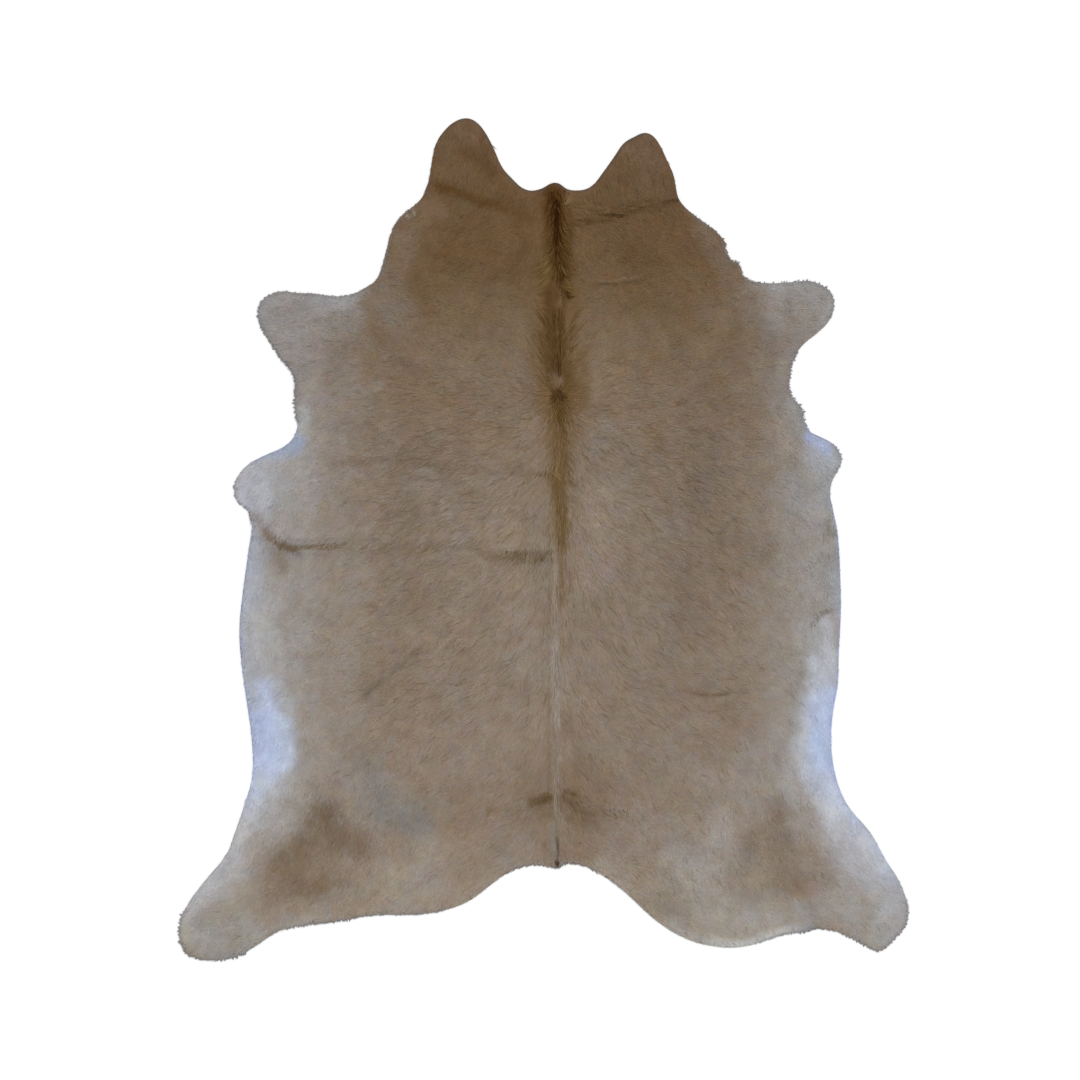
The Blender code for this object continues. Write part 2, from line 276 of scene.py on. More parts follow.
# Marks on the coat: name, colour, strength, half width, softness of the edge, and the
# line that it follows. Those of the edge keep to the cut instead: full and no strength
# at two distances from the cut, and how far they reach from the line. Lengths and places
# in these tables are in millimetres.
# The bluish whites on the thighs, hind legs, belly lobes and armpits are white hair with painted
# cool light on it, the bluish cast that its light gives it.
PATCHES = (
    ("foreleg left whole", (142, 135, 129), 0.9, 68, 36.6, "-677,572 -607,572 -539,588"),
    ("foreleg right whole", (143, 136, 130), 0.9, 68, 36.6, "631,604 701,604"),
    ("foreleg right edge", (150, 145, 142), 0.85, 15.7, 23.5, "591,659 644,664 701,659"),
    ("foreleg right root", (138, 127, 116), 0.8, 18.3, 23.5, "523,646 544,656 565,646"),
    ("shoulder grey left", (126, 113, 100), 0.8, 31.4, 36.6, "-460,635 -418,625 -392,578"),
    ("shoulder edge left", (125, 109, 95), 0.8, 18.3, 26.2, "-371,776 -369,735"),
    ("shoulder edge left in", (124, 108, 93), 0.75, 20.9, 23.5, "-371,667 -356,619"),
    ("shoulder grey left in", (121, 108, 95), 0.65, 26.2, 36.6, "-371,593 -371,541 -397,489"),
    ("shoulder grey left high", (120, 106, 92), 0.6, 20.9, 31.4, "-413,724 -413,667"),
    ("neck side left", (115, 92, 69), 0.7, 28.8, 31.4, "-287,871 -277,808 -261,740"),
    ("shoulder edge right", (122, 107, 92), 0.8, 18.3, 31.4,
     "414,818 450,766 476,708 508,651 508,619"),
    ("shoulder grey right", (121, 105, 89), 0.75, 31.4, 41.9, "424,593 471,578 518,588"),
    ("shoulder dark right in", (113, 96, 79), 0.6, 20.9, 31.4, "482,489 518,457"),
    ("shoulder dark right low", (110, 92, 75), 0.5, 18.3, 23.5, "419,442 424,405 429,363"),
    ("shoulder grey right out", (128, 115, 100), 0.6, 20.9, 36.6, "550,583 571,541"),
    ("upper back light right", (136, 123, 110), 0.8, 41.9, 41.9, "162,258 178,190 194,115"),
    ("back light right", (148, 132, 117), 0.85, 39.2, 41.9, "136,102 142,-3 126,-95"),
    ("back shade right", (121, 107, 93), 0.5, 31.4, 36.6, "466,2 523,-6 576,-16"),
    ("flank warm left", (141, 128, 114), 0.75, 39.2, 47.1,
     "-565,70 -560,-55 -554,-160 -554,-291 -549,-422 -539,-539"),
    ("flank warm left low", (143, 132, 120), 0.7, 26.2, 36.6, "-607,-317 -601,-396 -591,-631"),
    ("flank pale left", (163, 164, 167), 0.75, 20.9, 31.4, "-711,149 -706,102"),
    ("flank pale left low", (171, 172, 179), 0.8, 20.9, 31.4, "-769,-223 -737,-223"),
    # Painted shade below the flank's hollow.
    ("flank under hollow", (135, 126, 115), 0.7, 18.3, 26.2, "-722,-35 -690,-48"),
    ("flank grey right", (150, 141, 132), 0.55, 36.6, 41.9, "597,-254 633,-296 623,-526"),
    ("rump brown right high", (126, 110, 94), 0.6, 26.2, 36.6, "94,-461 100,-539 94,-610"),
    ("rump brown spine", (109, 85, 55), 0.85, 20.9, 26.2, "-15,-673 26,-673 79,-668"),
    ("rump brown under", (113, 91, 65), 0.7, 15.7, 23.5, "-10,-715 26,-720"),
    ("rump brown left high", (131, 117, 102), 0.5, 31.4, 36.6, "-115,-600 -63,-610"),
    ("rump brown low", (126, 109, 92), 0.75, 28.8, 34, "-21,-736 11,-777 32,-814"),
    ("rib shade left", (119, 104, 90), 0.45, 36.6, 109.9, "-329,201 -345,102 -356,-29 -345,-160"),
    ("rib shade right", (119, 104, 90), 0.5, 47.1, 120.3,
     "408,363 408,232 395,102 387,-29 382,-212"),
    ("rib light left", (146, 132, 117), 0.3, 41.9, 68, "-167,128 -115,23 -102,-160"),
    ("rib pale left", (140, 127, 116), 0.6, 26.2, 36.6, "-314,143 -277,107 -219,70"),
    ("rib pale left low", (142, 128, 115), 0.5, 23.5, 31.4, "-219,39 -214,-29 -214,-121"),
    ("shoulder light left", (133, 122, 111), 0.4, 36.6, 57.6, "-560,436 -520,374 -507,298"),
    ("shoulder warm left", (130, 110, 86), 0.4, 47.1, 52.3, "-272,363 -180,279"),
    ("shoulder light left high", (128, 112, 94), 0.3, 47.1, 62.8, "-376,507 -272,468 -141,455"),
    ("shoulder dark left low", (108, 91, 76), 0.5, 13.1, 20.9, "-382,463 -340,442 -293,415"),
    ("shoulder pale left low", (138, 123, 110), 0.5, 18.3, 26.2, "-424,258 -371,285"),
    ("shoulder light right", (134, 117, 98), 0.4, 36.6, 62.8, "147,415 212,363 251,311"),
    ("hump dark left", (100, 76, 50), 0.5, 36.6, 52.3, "-233,756 -141,724 -42,708"),
    ("hump dark left out", (104, 84, 58), 0.5, 26.2, 36.6, "-272,672 -324,651"),
    ("shoulder grey left", (124, 106, 88), 0.5, 26.2, 36.6, "-345,844 -363,782 -376,724"),
    ("hump dark right", (105, 83, 59), 0.5, 36.6, 52.3, "246,630 304,609 377,588"),
    ("shoulder dark right", (112, 92, 70), 0.4, 36.6, 52.3, "291,489 335,473"),
    ("neck dark left", (90, 68, 43), 0.8, 15.7, 26.2, "-204,1012 -167,996 -136,960"),
    ("neck dark left edge", (94, 72, 49), 0.7, 10.5, 20.9, "-162,1048 -141,1012 -131,975"),
    ("neck shade left", (97, 73, 46), 0.65, 20.9, 26.2, "-63,871 -55,821 -47,766"),
    ("neck light left", (120, 99, 79), 0.5, 5.2, 15.7, "-230,1072 -204,1064 -178,1051"),
    ("neck light right", (113, 92, 74), 0.5, 20.9, 36.6, "251,1017 283,986 278,944"),
    ("neck dark right", (96, 74, 48), 0.5, 20.9, 31.4, "212,742 251,756 291,724"),
    ("neck cloud left", (102, 80, 56), 0.3, 15.7, 23.5, "-246,844 -209,829 -167,818"),
    ("neck cloud low", (97, 75, 48), 0.5, 18.3, 26.2, "-272,735 -240,708 -193,698"),
    ("neck cloud right", (100, 78, 52), 0.45, 15.7, 23.5, "251,886 291,868 325,855"),
    ("foreleg left tip", (151, 148, 148), 0.85, 31.4, 36.6, "-711,617 -717,585"),
    ("foreleg left", (147, 142, 139), 0.85, 36.6, 36.6, "-680,614 -685,567 -675,520 -656,483"),
    ("foreleg left middle", (140, 132, 126), 0.75, 31.4, 47.1, "-633,567 -607,520 -580,489"),
    ("foreleg left top", (151, 147, 146), 0.9, 20.9, 23.5, "-607,614 -554,614 -518,619"),
    ("foreleg left streak", (134, 128, 122), 0.6, 7.8, 13.1, "-643,622 -617,596 -580,570 -533,544"),
    ("foreleg left inner", (131, 120, 110), 0.6, 31.4, 52.3, "-512,551 -507,507 -539,442"),
    ("foreleg spot left", (150, 142, 136), 0.5, 5.2, 13.1, "-429,400 -421,397"),
    ("armpit left", (140, 132, 126), 0.8, 20.9, 36.6, "-633,426 -625,376"),
    ("armpit left pale", (164, 164, 163), 0.85, 15.7, 20.9, "-630,337 -628,306 -630,279"),
    ("armpit left cool light", (150, 163, 187), 0.88, 15.7, 20.9, "-641,253 -656,235 -685,227 -717,217"),
    ("belly lobe left tip", (171, 171, 180), 0.92, 36.6, 41.9, "-785,175 -785,128 -764,96"),
    ("belly lobe left", (167, 168, 173), 0.9, 36.6, 47.1, "-737,180 -727,141"),
    ("belly lobe left inner", (151, 147, 144), 0.7, 52.3, 68, "-664,159 -664,102"),
    ("belly lobe left low", (152, 150, 150), 0.8, 13.1, 23.5, "-748,70 -722,54"),
    ("belly lobe left in", (174, 177, 185), 0.7, 13.1, 18.3, "-727,154 -724,122 -724,91"),
    ("flank left", (150, 143, 136), 0.6, 47.1, 68,
     "-659,-55 -669,-134 -669,-212 -664,-304 -659,-369"),
    ("flank left pale", (166, 164, 164), 0.8, 28.8, 36.6,
     "-732,-191 -727,-265 -737,-330 -722,-380"),
    ("flank left high", (160, 161, 165), 0.8, 20.9, 31.4, "-753,-35 -761,-95 -769,-160"),
    ("flank whorl left", (174, 173, 176), 0.7, 7.8, 13.1, "-751,-244 -753,-278 -737,-312"),
    ("flank whorl left eye", (150, 142, 135), 0.6, 2.6, 6.5, "-680,-244 -677,-270 -693,-280"),
    ("thigh left cool light", (178, 188, 214), 0.95, 44.5, 26.2,
     "-751,-411 -727,-474 -722,-539 -735,-600"),
    ("thigh left low", (182, 188, 202), 0.94, 23.5, 23.5, "-737,-639 -753,-678 -769,-715"),
    ("thigh left fringe", (168, 170, 176), 0.65, 15.7, 31.4,
     "-701,-380 -669,-422 -654,-469 -649,-526 -654,-573 -672,-626 -698,-683 -735,-736"),
    ("thigh left cool light top", (184, 193, 215), 0.55, 13.1, 15.7, "-756,-416 -732,-419 -714,-432"),
    ("thigh left shade", (158, 172, 206), 0.55, 15.7, 20.9, "-748,-474 -737,-500"),
    ("thigh left inner", (147, 138, 128), 0.65, 23.5, 28.8,
     "-622,-461 -622,-552 -628,-631 -656,-683 -667,-736"),
    ("thigh left cool light in", (177, 188, 208), 0.8, 15.7, 20.9,
     "-680,-479 -672,-516 -675,-552 -683,-589"),
    ("leg left pale", (180, 181, 186), 0.9, 31.4, 39.2,
     "-737,-662 -769,-704 -795,-777 -826,-856 -868,-914"),
    ("leg left", (156, 150, 146), 0.6, 41.9, 52.3, "-722,-741 -753,-809 -795,-872 -834,-932"),
    ("leg left cool light", (186, 194, 210), 0.75, 18.3, 20.9, "-748,-647 -758,-678 -774,-709"),
    ("hind tip left", (168, 166, 165), 0.8, 31.4, 41.9, "-910,-945 -921,-976 -918,-1018"),
    ("hind tip left rim", (148, 144, 140), 0.8, 15.7, 23.5,
     "-900,-1060 -879,-1081 -842,-1089 -790,-1076 -737,-1044"),
    ("hind tip left low", (152, 149, 145), 0.85, 31.4, 36.6, "-879,-1034 -853,-1039 -795,-1013"),
    ("leg left low", (146, 139, 132), 0.6, 26.2, 36.6, "-805,-1008 -769,-982"),
    ("leg left brown low", (140, 128, 115), 0.75, 26.2, 36.6, "-737,-950 -664,-934 -591,-914"),
    ("hind tip left dark", (140, 136, 126), 0.5, 10.5, 20.9, "-894,-1008 -868,-997"),
    ("haunch above left", (133, 121, 110), 0.7, 26.2, 36.6, "-596,-652 -533,-662 -486,-683"),
    ("haunch brown left ground", (121, 105, 88), 0.9, 47.1, 52.3,
     "-580,-736 -586,-793 -628,-845 -659,-882"),
    ("haunch brown left ground in", (122, 107, 92), 0.8, 31.4, 47.1, "-533,-783 -476,-793"),
    ("haunch brown left", (112, 95, 77), 0.9, 20.9, 39.2, "-575,-715 -560,-757 -549,-788"),
    ("haunch brown left out", (118, 102, 85), 0.8, 20.9, 39.2, "-617,-804 -659,-819 -696,-840"),
    ("haunch brown left low", (107, 88, 65), 0.9, 23.5, 34, "-633,-882 -612,-898 -586,-903"),
    ("haunch brown left far", (119, 101, 82), 0.8, 18.3, 26.2, "-607,-861 -560,-866 -549,-887"),
    ("haunch brown left in", (115, 98, 82), 0.7, 20.9, 39.2, "-518,-772 -481,-793"),
    ("haunch mid left", (128, 112, 96), 0.7, 36.6, 47.1, "-685,-914 -591,-856 -533,-872"),
    ("rump grey left", (121, 117, 112), 0.75, 44.5, 34, "-418,-699 -371,-715 -335,-725"),
    ("rump grey between", (134, 127, 120), 0.5, 36.6, 31.4, "-460,-652 -418,-668"),
    ("rump grey left high", (127, 122, 116), 0.6, 34, 26.2, "-476,-594 -444,-610"),
    ("rump light left", (148, 139, 131), 0.35, 18.3, 31.4, "-392,-647 -376,-662"),
    ("hind pale left", (152, 142, 131), 0.7, 36.6, 47.1, "-340,-872 -397,-934 -403,-961"),
    ("hind brown low", (142, 127, 112), 0.6, 23.5, 31.4, "-298,-950 -251,-914 -193,-898"),
    ("hind pale left in", (151, 141, 133), 0.6, 36.6, 47.1, "-287,-835 -282,-893"),
    ("back band left", (127, 113, 98), 0.5, 31.4, 47.1, "-376,-304 -416,-348 -465,-396"),
    ("loin dark left", (131, 117, 104), 0.5, 23.5, 36.6, "-494,-539 -468,-566"),
    ("rump warm left", (127, 109, 91), 0.7, 41.9, 62.8, "-193,-704 -115,-673 -36,-636"),
    ("rump warm right", (120, 101, 82), 0.75, 41.9, 62.8, "79,-647 136,-683 108,-741"),
    ("rump pale right", (146, 131, 118), 0.4, 36.6, 57.6, "251,-683 304,-762 317,-840"),
    ("hip brown right", (128, 111, 95), 0.45, 47.1, 57.6, "147,-618 251,-657"),
    ("rump low left", (135, 119, 104), 0.5, 31.4, 41.9, "-246,-861 -167,-819 -73,-819"),
    ("haunch grey right", (155, 147, 139), 0.85, 39.2, 41.9,
     "466,-751 445,-809 419,-872 408,-929 450,-934"),
    ("haunch above right", (149, 139, 130), 0.7, 26.2, 36.6, "429,-636 471,-657 523,-636"),
    ("haunch right in", (152, 143, 134), 0.7, 20.9, 31.4, "356,-830 361,-887 367,-924"),
    ("rump low mid", (130, 111, 94), 0.6, 20.9, 26.2, "58,-809 105,-809"),
    ("rump brown low right", (104, 83, 60), 0.5, 13.1, 18.3, "79,-725 105,-728"),
    ("rump above", (123, 105, 87), 0.6, 18.3, 23.5, "-15,-626 -5,-652"),
    ("rump under left", (128, 112, 96), 0.6, 18.3, 23.5, "-94,-736 -68,-741"),
    ("rump end left", (147, 135, 124), 0.7, 15.7, 20.9, "-94,-845 -73,-845"),
    ("rump warm far", (130, 116, 103), 0.6, 20.9, 26.2, "-303,-647 -298,-673"),
    ("rump edge right", (154, 144, 136), 0.8, 13.1, 23.5, "147,-861 178,-887 210,-919"),
    ("haunch grey right in", (155, 148, 140), 0.7, 26.2, 39.2, "346,-830 367,-887 372,-934"),
    ("haunch pale right", (159, 152, 144), 0.9, 31.4, 36.6,
     "408,-992 474,-1002 539,-1002 597,-997"),
    ("haunch warm right", (140, 125, 110), 0.5, 31.4, 41.9, "325,-958 361,-1002"),
    ("loin dark right", (129, 113, 98), 0.5, 36.6, 57.6, "251,-369 382,-396 474,-411"),
    ("haunch brown right", (121, 106, 91), 0.8, 26.2, 41.9, "607,-715 612,-767 623,-804"),
    ("haunch brown right out", (125, 110, 94), 0.8, 20.9, 36.6, "555,-762 544,-801"),
    ("haunch brown right low", (122, 104, 85), 0.85, 20.9, 39.2, "618,-845 644,-882 670,-908"),
    ("haunch mid right", (136, 123, 109), 0.6, 41.9, 52.3, "644,-827 701,-866"),
    ("flank right high", (146, 144, 142), 0.75, 26.2, 41.9, "738,102 743,49 754,-16"),
    ("flank right", (147, 142, 136), 0.6, 47.1, 73.2, "686,102 691,-29 691,-160 686,-317"),
    ("flank right low", (166, 164, 164), 0.8, 26.2, 36.6, "722,-225 717,-278"),
    ("flank right pale", (178, 181, 188), 0.9, 31.4, 28.8, "743,-322 738,-380"),
    ("flank right bulge", (175, 175, 182), 0.75, 10.5, 15.7, "735,-218 746,-252 743,-286"),
    ("flank right mid", (150, 153, 158), 0.8, 13.1, 23.5, "762,-87 764,-134 764,-173"),
    ("flank right pale in", (162, 157, 151), 0.6, 13.1, 20.9, "665,-228 667,-270"),
    ("flank right shade in", (137, 132, 127), 0.6, 13.1, 18.3, "728,-87 733,-123"),
    ("thigh right cool light", (174, 186, 212), 0.96, 39.2, 20.9,
     "733,-422 728,-479 722,-539 738,-592 764,-641"),
    ("thigh right low", (187, 193, 209), 0.94, 31.4, 28.8, "764,-636 785,-691 816,-751"),
    ("thigh right fringe", (177, 180, 189), 0.88, 17, 23.5,
     "707,-317 712,-359 696,-406 680,-453 675,-500 673,-558 691,-615 720,-662 746,-715 782,-777"),
    ("thigh right inner", (150, 140, 131), 0.65, 36.6, 47.1, "534,-568 544,-621 539,-683"),
    ("thigh right between", (162, 157, 154), 0.65, 13.1, 31.4, "639,-521 639,-592 654,-662"),
    ("thigh right cool light high", (185, 195, 218), 0.75, 15.7, 18.3, "717,-416 712,-453"),
    ("thigh right seam", (155, 151, 147), 0.6, 10.5, 15.7, "659,-448 662,-495"),
    ("leg right pale", (190, 192, 201), 0.92, 34, 36.6,
     "769,-725 801,-746 832,-783 853,-827 879,-861"),
    ("leg right", (173, 172, 176), 0.85, 36.6, 47.1, "775,-777 816,-851 858,-908"),
    ("hind tip right", (170, 170, 174), 0.85, 26.2, 31.4, "916,-934 905,-966 890,-982"),
    ("hind tip right end", (151, 149, 148), 0.7, 13.1, 20.9, "916,-992 905,-1023"),
    ("hind tip right low", (146, 145, 142), 0.75, 15.7, 26.2, "869,-1039 884,-1050"),
    ("hind edge right end", (158, 160, 172), 0.6, 10.5, 15.7, "649,-1018 686,-1016"),
    ("leg right inner", (156, 152, 148), 0.7, 31.4, 41.9, "769,-934 816,-976 848,-1013"),
    ("leg right low", (153, 148, 142), 0.75, 26.2, 36.6, "670,-984 728,-976"),
    ("haunch edge right", (158, 149, 140), 0.7, 20.9, 26.2, "340,-1002 367,-1039"),
    ("foreleg right", (145, 139, 134), 0.85, 34, 39.2, "644,625 691,619 722,609"),
    ("foreleg right pale", (151, 148, 146), 0.75, 10.5, 18.3, "618,656 615,619 607,583"),
    ("foreleg right inner", (140, 131, 122), 0.7, 31.4, 47.1, "586,625 631,578 670,562"),
    ("foreleg right low", (134, 123, 112), 0.6, 36.6, 47.1, "631,520 605,478"),
    ("armpit right", (142, 135, 129), 0.75, 20.9, 36.6, "641,504 639,447 628,402 628,358"),
    ("armpit right pale", (148, 148, 146), 0.8, 13.1, 20.9, "652,358 665,321 670,290"),
    ("belly lobe right", (161, 163, 168), 0.95, 31.4, 34, "712,211 738,201 759,201"),
    ("flank lobe right", (158, 158, 159), 0.85, 20.9, 31.4, "722,149 728,96"),
    ("belly lobe right cool light", (163, 173, 203), 0.9, 10.5, 18.3, "691,266 717,256 738,240"),
    ("belly lobe right inner", (148, 144, 141), 0.75, 36.6, 52.3, "675,154 680,88"),
)
# Edge tones: the bluish rims of the flanks, thighs, armpit, belly lobe and right hind leg are
# painted cool light on the white hair at the cut; the others are the coat's own colour near the
# edge.
EDGE_TONES = (
    ("left shoulder", (124, 110, 97), 0.3, 4, 22, 50, "-382,829 -397,782 -418,716 -450,661"),
    ("left foreleg", (149, 147, 148), 0.5, 8, 30, 40, "-507,627 -612,635 -685,646 -737,619"),
    ("left flank", (163, 165, 174), 0.85, 12, 58, 50,
     "-753,10 -769,-82 -782,-186 -782,-317 -774,-382"),
    ("left flank rim", (148, 158, 190), 0.5, 2.5, 7, 50,
     "-756,23 -771,-82 -787,-212 -782,-317 -769,-422"),
    ("left thigh rim", (166, 177, 212), 0.35, 3, 10, 50, "-764,-422 -758,-552 -764,-657"),
    ("left armpit rim", (144, 156, 184), 0.6, 3, 9, 20, "-638,264 -654,238 -690,222 -722,206"),
    ("left hind leg", (172, 170, 174), 0.5, 10, 40, 50, "-774,-736 -800,-804 -847,-872 -900,-934"),
    ("right shoulder", (122, 108, 94), 0.25, 4, 22, 50, "408,821 455,769 523,677"),
    ("right foreleg", (150, 149, 150), 0.45, 8, 30, 50, "591,659 670,667 738,640 743,593"),
    ("right belly rim", (160, 169, 204), 0.45, 3, 8, 20, "686,279 717,269 748,248"),
    ("right leg rim", (188, 190, 203), 0.6, 4, 20, 40, "780,-715 801,-746 822,-783"),
    ("right flank rim", (150, 161, 194), 0.55, 2.5, 8, 50, "748,102 764,-55 769,-212 767,-369"),
    ("right thigh rim", (166, 177, 214), 0.5, 4, 12, 50, "762,-435 748,-526 754,-631 780,-689"),
    ("right hind leg", (176, 184, 200), 0.7, 6, 35, 50, "801,-741 843,-814 884,-877"),
    ("right hind edge", (160, 160, 168), 0.5, 6, 30, 50, "918,-919 942,-971 926,-1023"),
    ("hind edge right", (166, 161, 155), 0.7, 8, 35, 50, "382,-1044 448,-1060 513,-1050 591,-1034"),
    ("hind edge right rim", (181, 179, 175), 0.85, 7, 36, 40,
     "482,-1052 518,-1055 560,-1050 612,-1034"),
    ("hind edge left", (147, 141, 135), 0.6, 10, 35, 50, "-795,-1060 -737,-1034 -664,-1018"),
)
# Along the spine: the dark hair of the neck, crest and back, and the painted highlight and shade of
# the spine's ridge further back.
SPINE_MARKS_AND_RIDGE_SHADING = (
    ("neck halo", (95, 70, 41), 0.8, 36.6, 34, "21,897 29,782 32,708"),
    ("neck brown", (80, 50, 15), 0.85, 23.5, 15.7, "26,902 29,847 37,766"),
    ("neck brown low", (88, 60, 23), 0.85, 20.9, 18.3, "37,756 42,703 47,661"),
    ("neck blob right", (54, 32, 4), 0.85, 7.3, 10.5, "47,653 55,638 60,619"),
    ("neck core", (58, 28, 0), 0.92, 10.5, 11.8, "29,868 29,839 34,803 34,766"),
    ("neck core wide", (62, 35, 4), 0.8, 6.8, 7.8, "42,829 42,803 42,782"),
    ("neck brown right", (72, 47, 16), 0.5, 5.2, 7.8, "66,865 68,818 66,787"),
    ("neck core wave", (60, 34, 2), 0.65, 4.2, 6.8, "32,771 34,729 42,703 42,674 53,653"),
    ("neck core low", (74, 44, 10), 0.75, 7.8, 10.5, "34,756 37,724 45,693 47,656"),
    ("neck curl", (56, 34, 6), 0.9, 5.2, 7.8, "50,656 58,643 63,633"),
    ("crest halo", (110, 85, 54), 0.85, 49.7, 39.2, "32,635 32,520 37,384"),
    ("crest side right", (107, 82, 50), 0.55, 13.1, 15.7, "97,483 100,436 100,394 94,353"),
    ("crest paler low", (106, 83, 56), 0.55, 10.5, 13.1, "45,483 45,436"),
    ("crest core", (88, 62, 34), 0.85, 20.9, 15.7, "26,646 29,546 32,436"),
    ("crest light", (134, 112, 76), 0.6, 2.4, 3.7, "40,640 40,614 37,578 37,520"),
    ("crest right low", (97, 73, 42), 0.6, 10.5, 18.3, "68,436 71,394 68,358"),
    ("crest light low", (120, 96, 64), 0.4, 1.8, 3.1, "37,520 34,463"),
    ("crest dark", (72, 49, 20), 0.8, 1.6, 4.2, "29,583 29,520 29,442"),
    ("crest dark right", (84, 60, 30), 0.6, 1.8, 4.7, "55,651 55,609 50,546"),
    ("crest dark left", (84, 60, 32), 0.5, 1.8, 4.7, "5,646 8,599 16,494"),
    ("bare hollow", (72, 50, 16), 0.8, 2.6, 6.3, "58,426 53,405 45,389"),
    ("bare spot", (140, 130, 126), 0.7, 1.3, 3.1, "34,429 42,415 47,402"),
    ("bare spot side", (118, 104, 92), 0.6, 3.7, 5.2, "26,431 34,405"),
    ("whorl", (78, 54, 22), 0.92, 13.1, 13.1, "32,389 40,358"),
    ("upper halo", (117, 92, 62), 0.8, 34, 39.2, "37,368 40,298 42,258"),
    ("upper core", (86, 61, 28), 0.85, 15.7, 15.7, "37,363 42,326"),
    ("upper side", (90, 64, 28), 0.5, 7.8, 10.5, "58,389 58,353 60,300"),
    ("upper brown", (105, 80, 45), 0.85, 18.3, 15.7, "40,332 42,258 40,159"),
    ("upper halo low", (122, 100, 74), 0.6, 23.5, 31.4, "42,258 42,167"),
    ("upper dark", (92, 68, 38), 0.6, 2.1, 5.2, "32,337 34,258 32,180"),
    ("upper dark right", (94, 70, 38), 0.6, 2.1, 5.2, "50,353 55,285 60,206"),
    ("mid halo", (123, 101, 70), 0.6, 20.9, 26.2, "42,167 45,88 45,-3"),
    ("mid core", (107, 84, 46), 0.8, 13.1, 13.1, "34,175 34,115 42,70 47,-16"),
    ("mid dark", (92, 68, 38), 0.6, 1.8, 4.7, "24,185 34,128 42,62"),
    ("mid dark right", (96, 72, 42), 0.55, 1.8, 4.7, "53,159 58,102 53,36"),
    ("low brown", (120, 100, 76), 0.6, 5.2, 13.1, "45,-16 45,-82 42,-160"),
    ("low orange", (116, 92, 62), 0.5, 1.8, 4.7, "45,23 45,-55 42,-160"),
    ("fading brown", (128, 110, 88), 0.5, 3.7, 9.2, "42,-160 45,-239 47,-291"),
    # The pale ridge rows are a painted highlight along the top of the spine's ridge, and the ridge
    # shade rows painted shade on its sides.
    ("ridge", (149, 137, 122), 0.65, 3.1, 4.7, "29,-55 29,-160 29,-265 32,-422 34,-579 37,-631"),
    ("ridge highlight", (156, 146, 136), 0.8, 6.8, 9.4, "29,-265 29,-369 34,-484"),
    ("ridge band low", (137, 123, 106), 0.65, 6.3, 3.9, "26,-479 29,-579 32,-683 34,-741"),
    ("ridge shade far", (112, 95, 76), 0.5, 1.6, 4.2, "15,-532 15,-605 15,-670"),
    ("mid core low", (121, 100, 76), 0.6, 5.8, 7.8, "45,-19 45,-82 42,-173"),
    ("mid light low", (148, 138, 122), 0.5, 2.1, 3.7, "26,-16 26,-95 26,-160"),
    ("ridge highlight right", (145, 133, 121), 0.6, 10.5, 18.3, "58,-317 58,-422"),
    ("ridge shade left", (118, 106, 91), 0.45, 2.1, 5.8, "13,-55 16,-160 13,-265"),
    ("ridge shade low", (116, 101, 84), 0.55, 3.1, 6.8, "13,-396 13,-526 13,-662"),
    ("ridge shade right", (122, 106, 88), 0.4, 2.4, 6.8, "50,-422 47,-526 53,-641"),
)
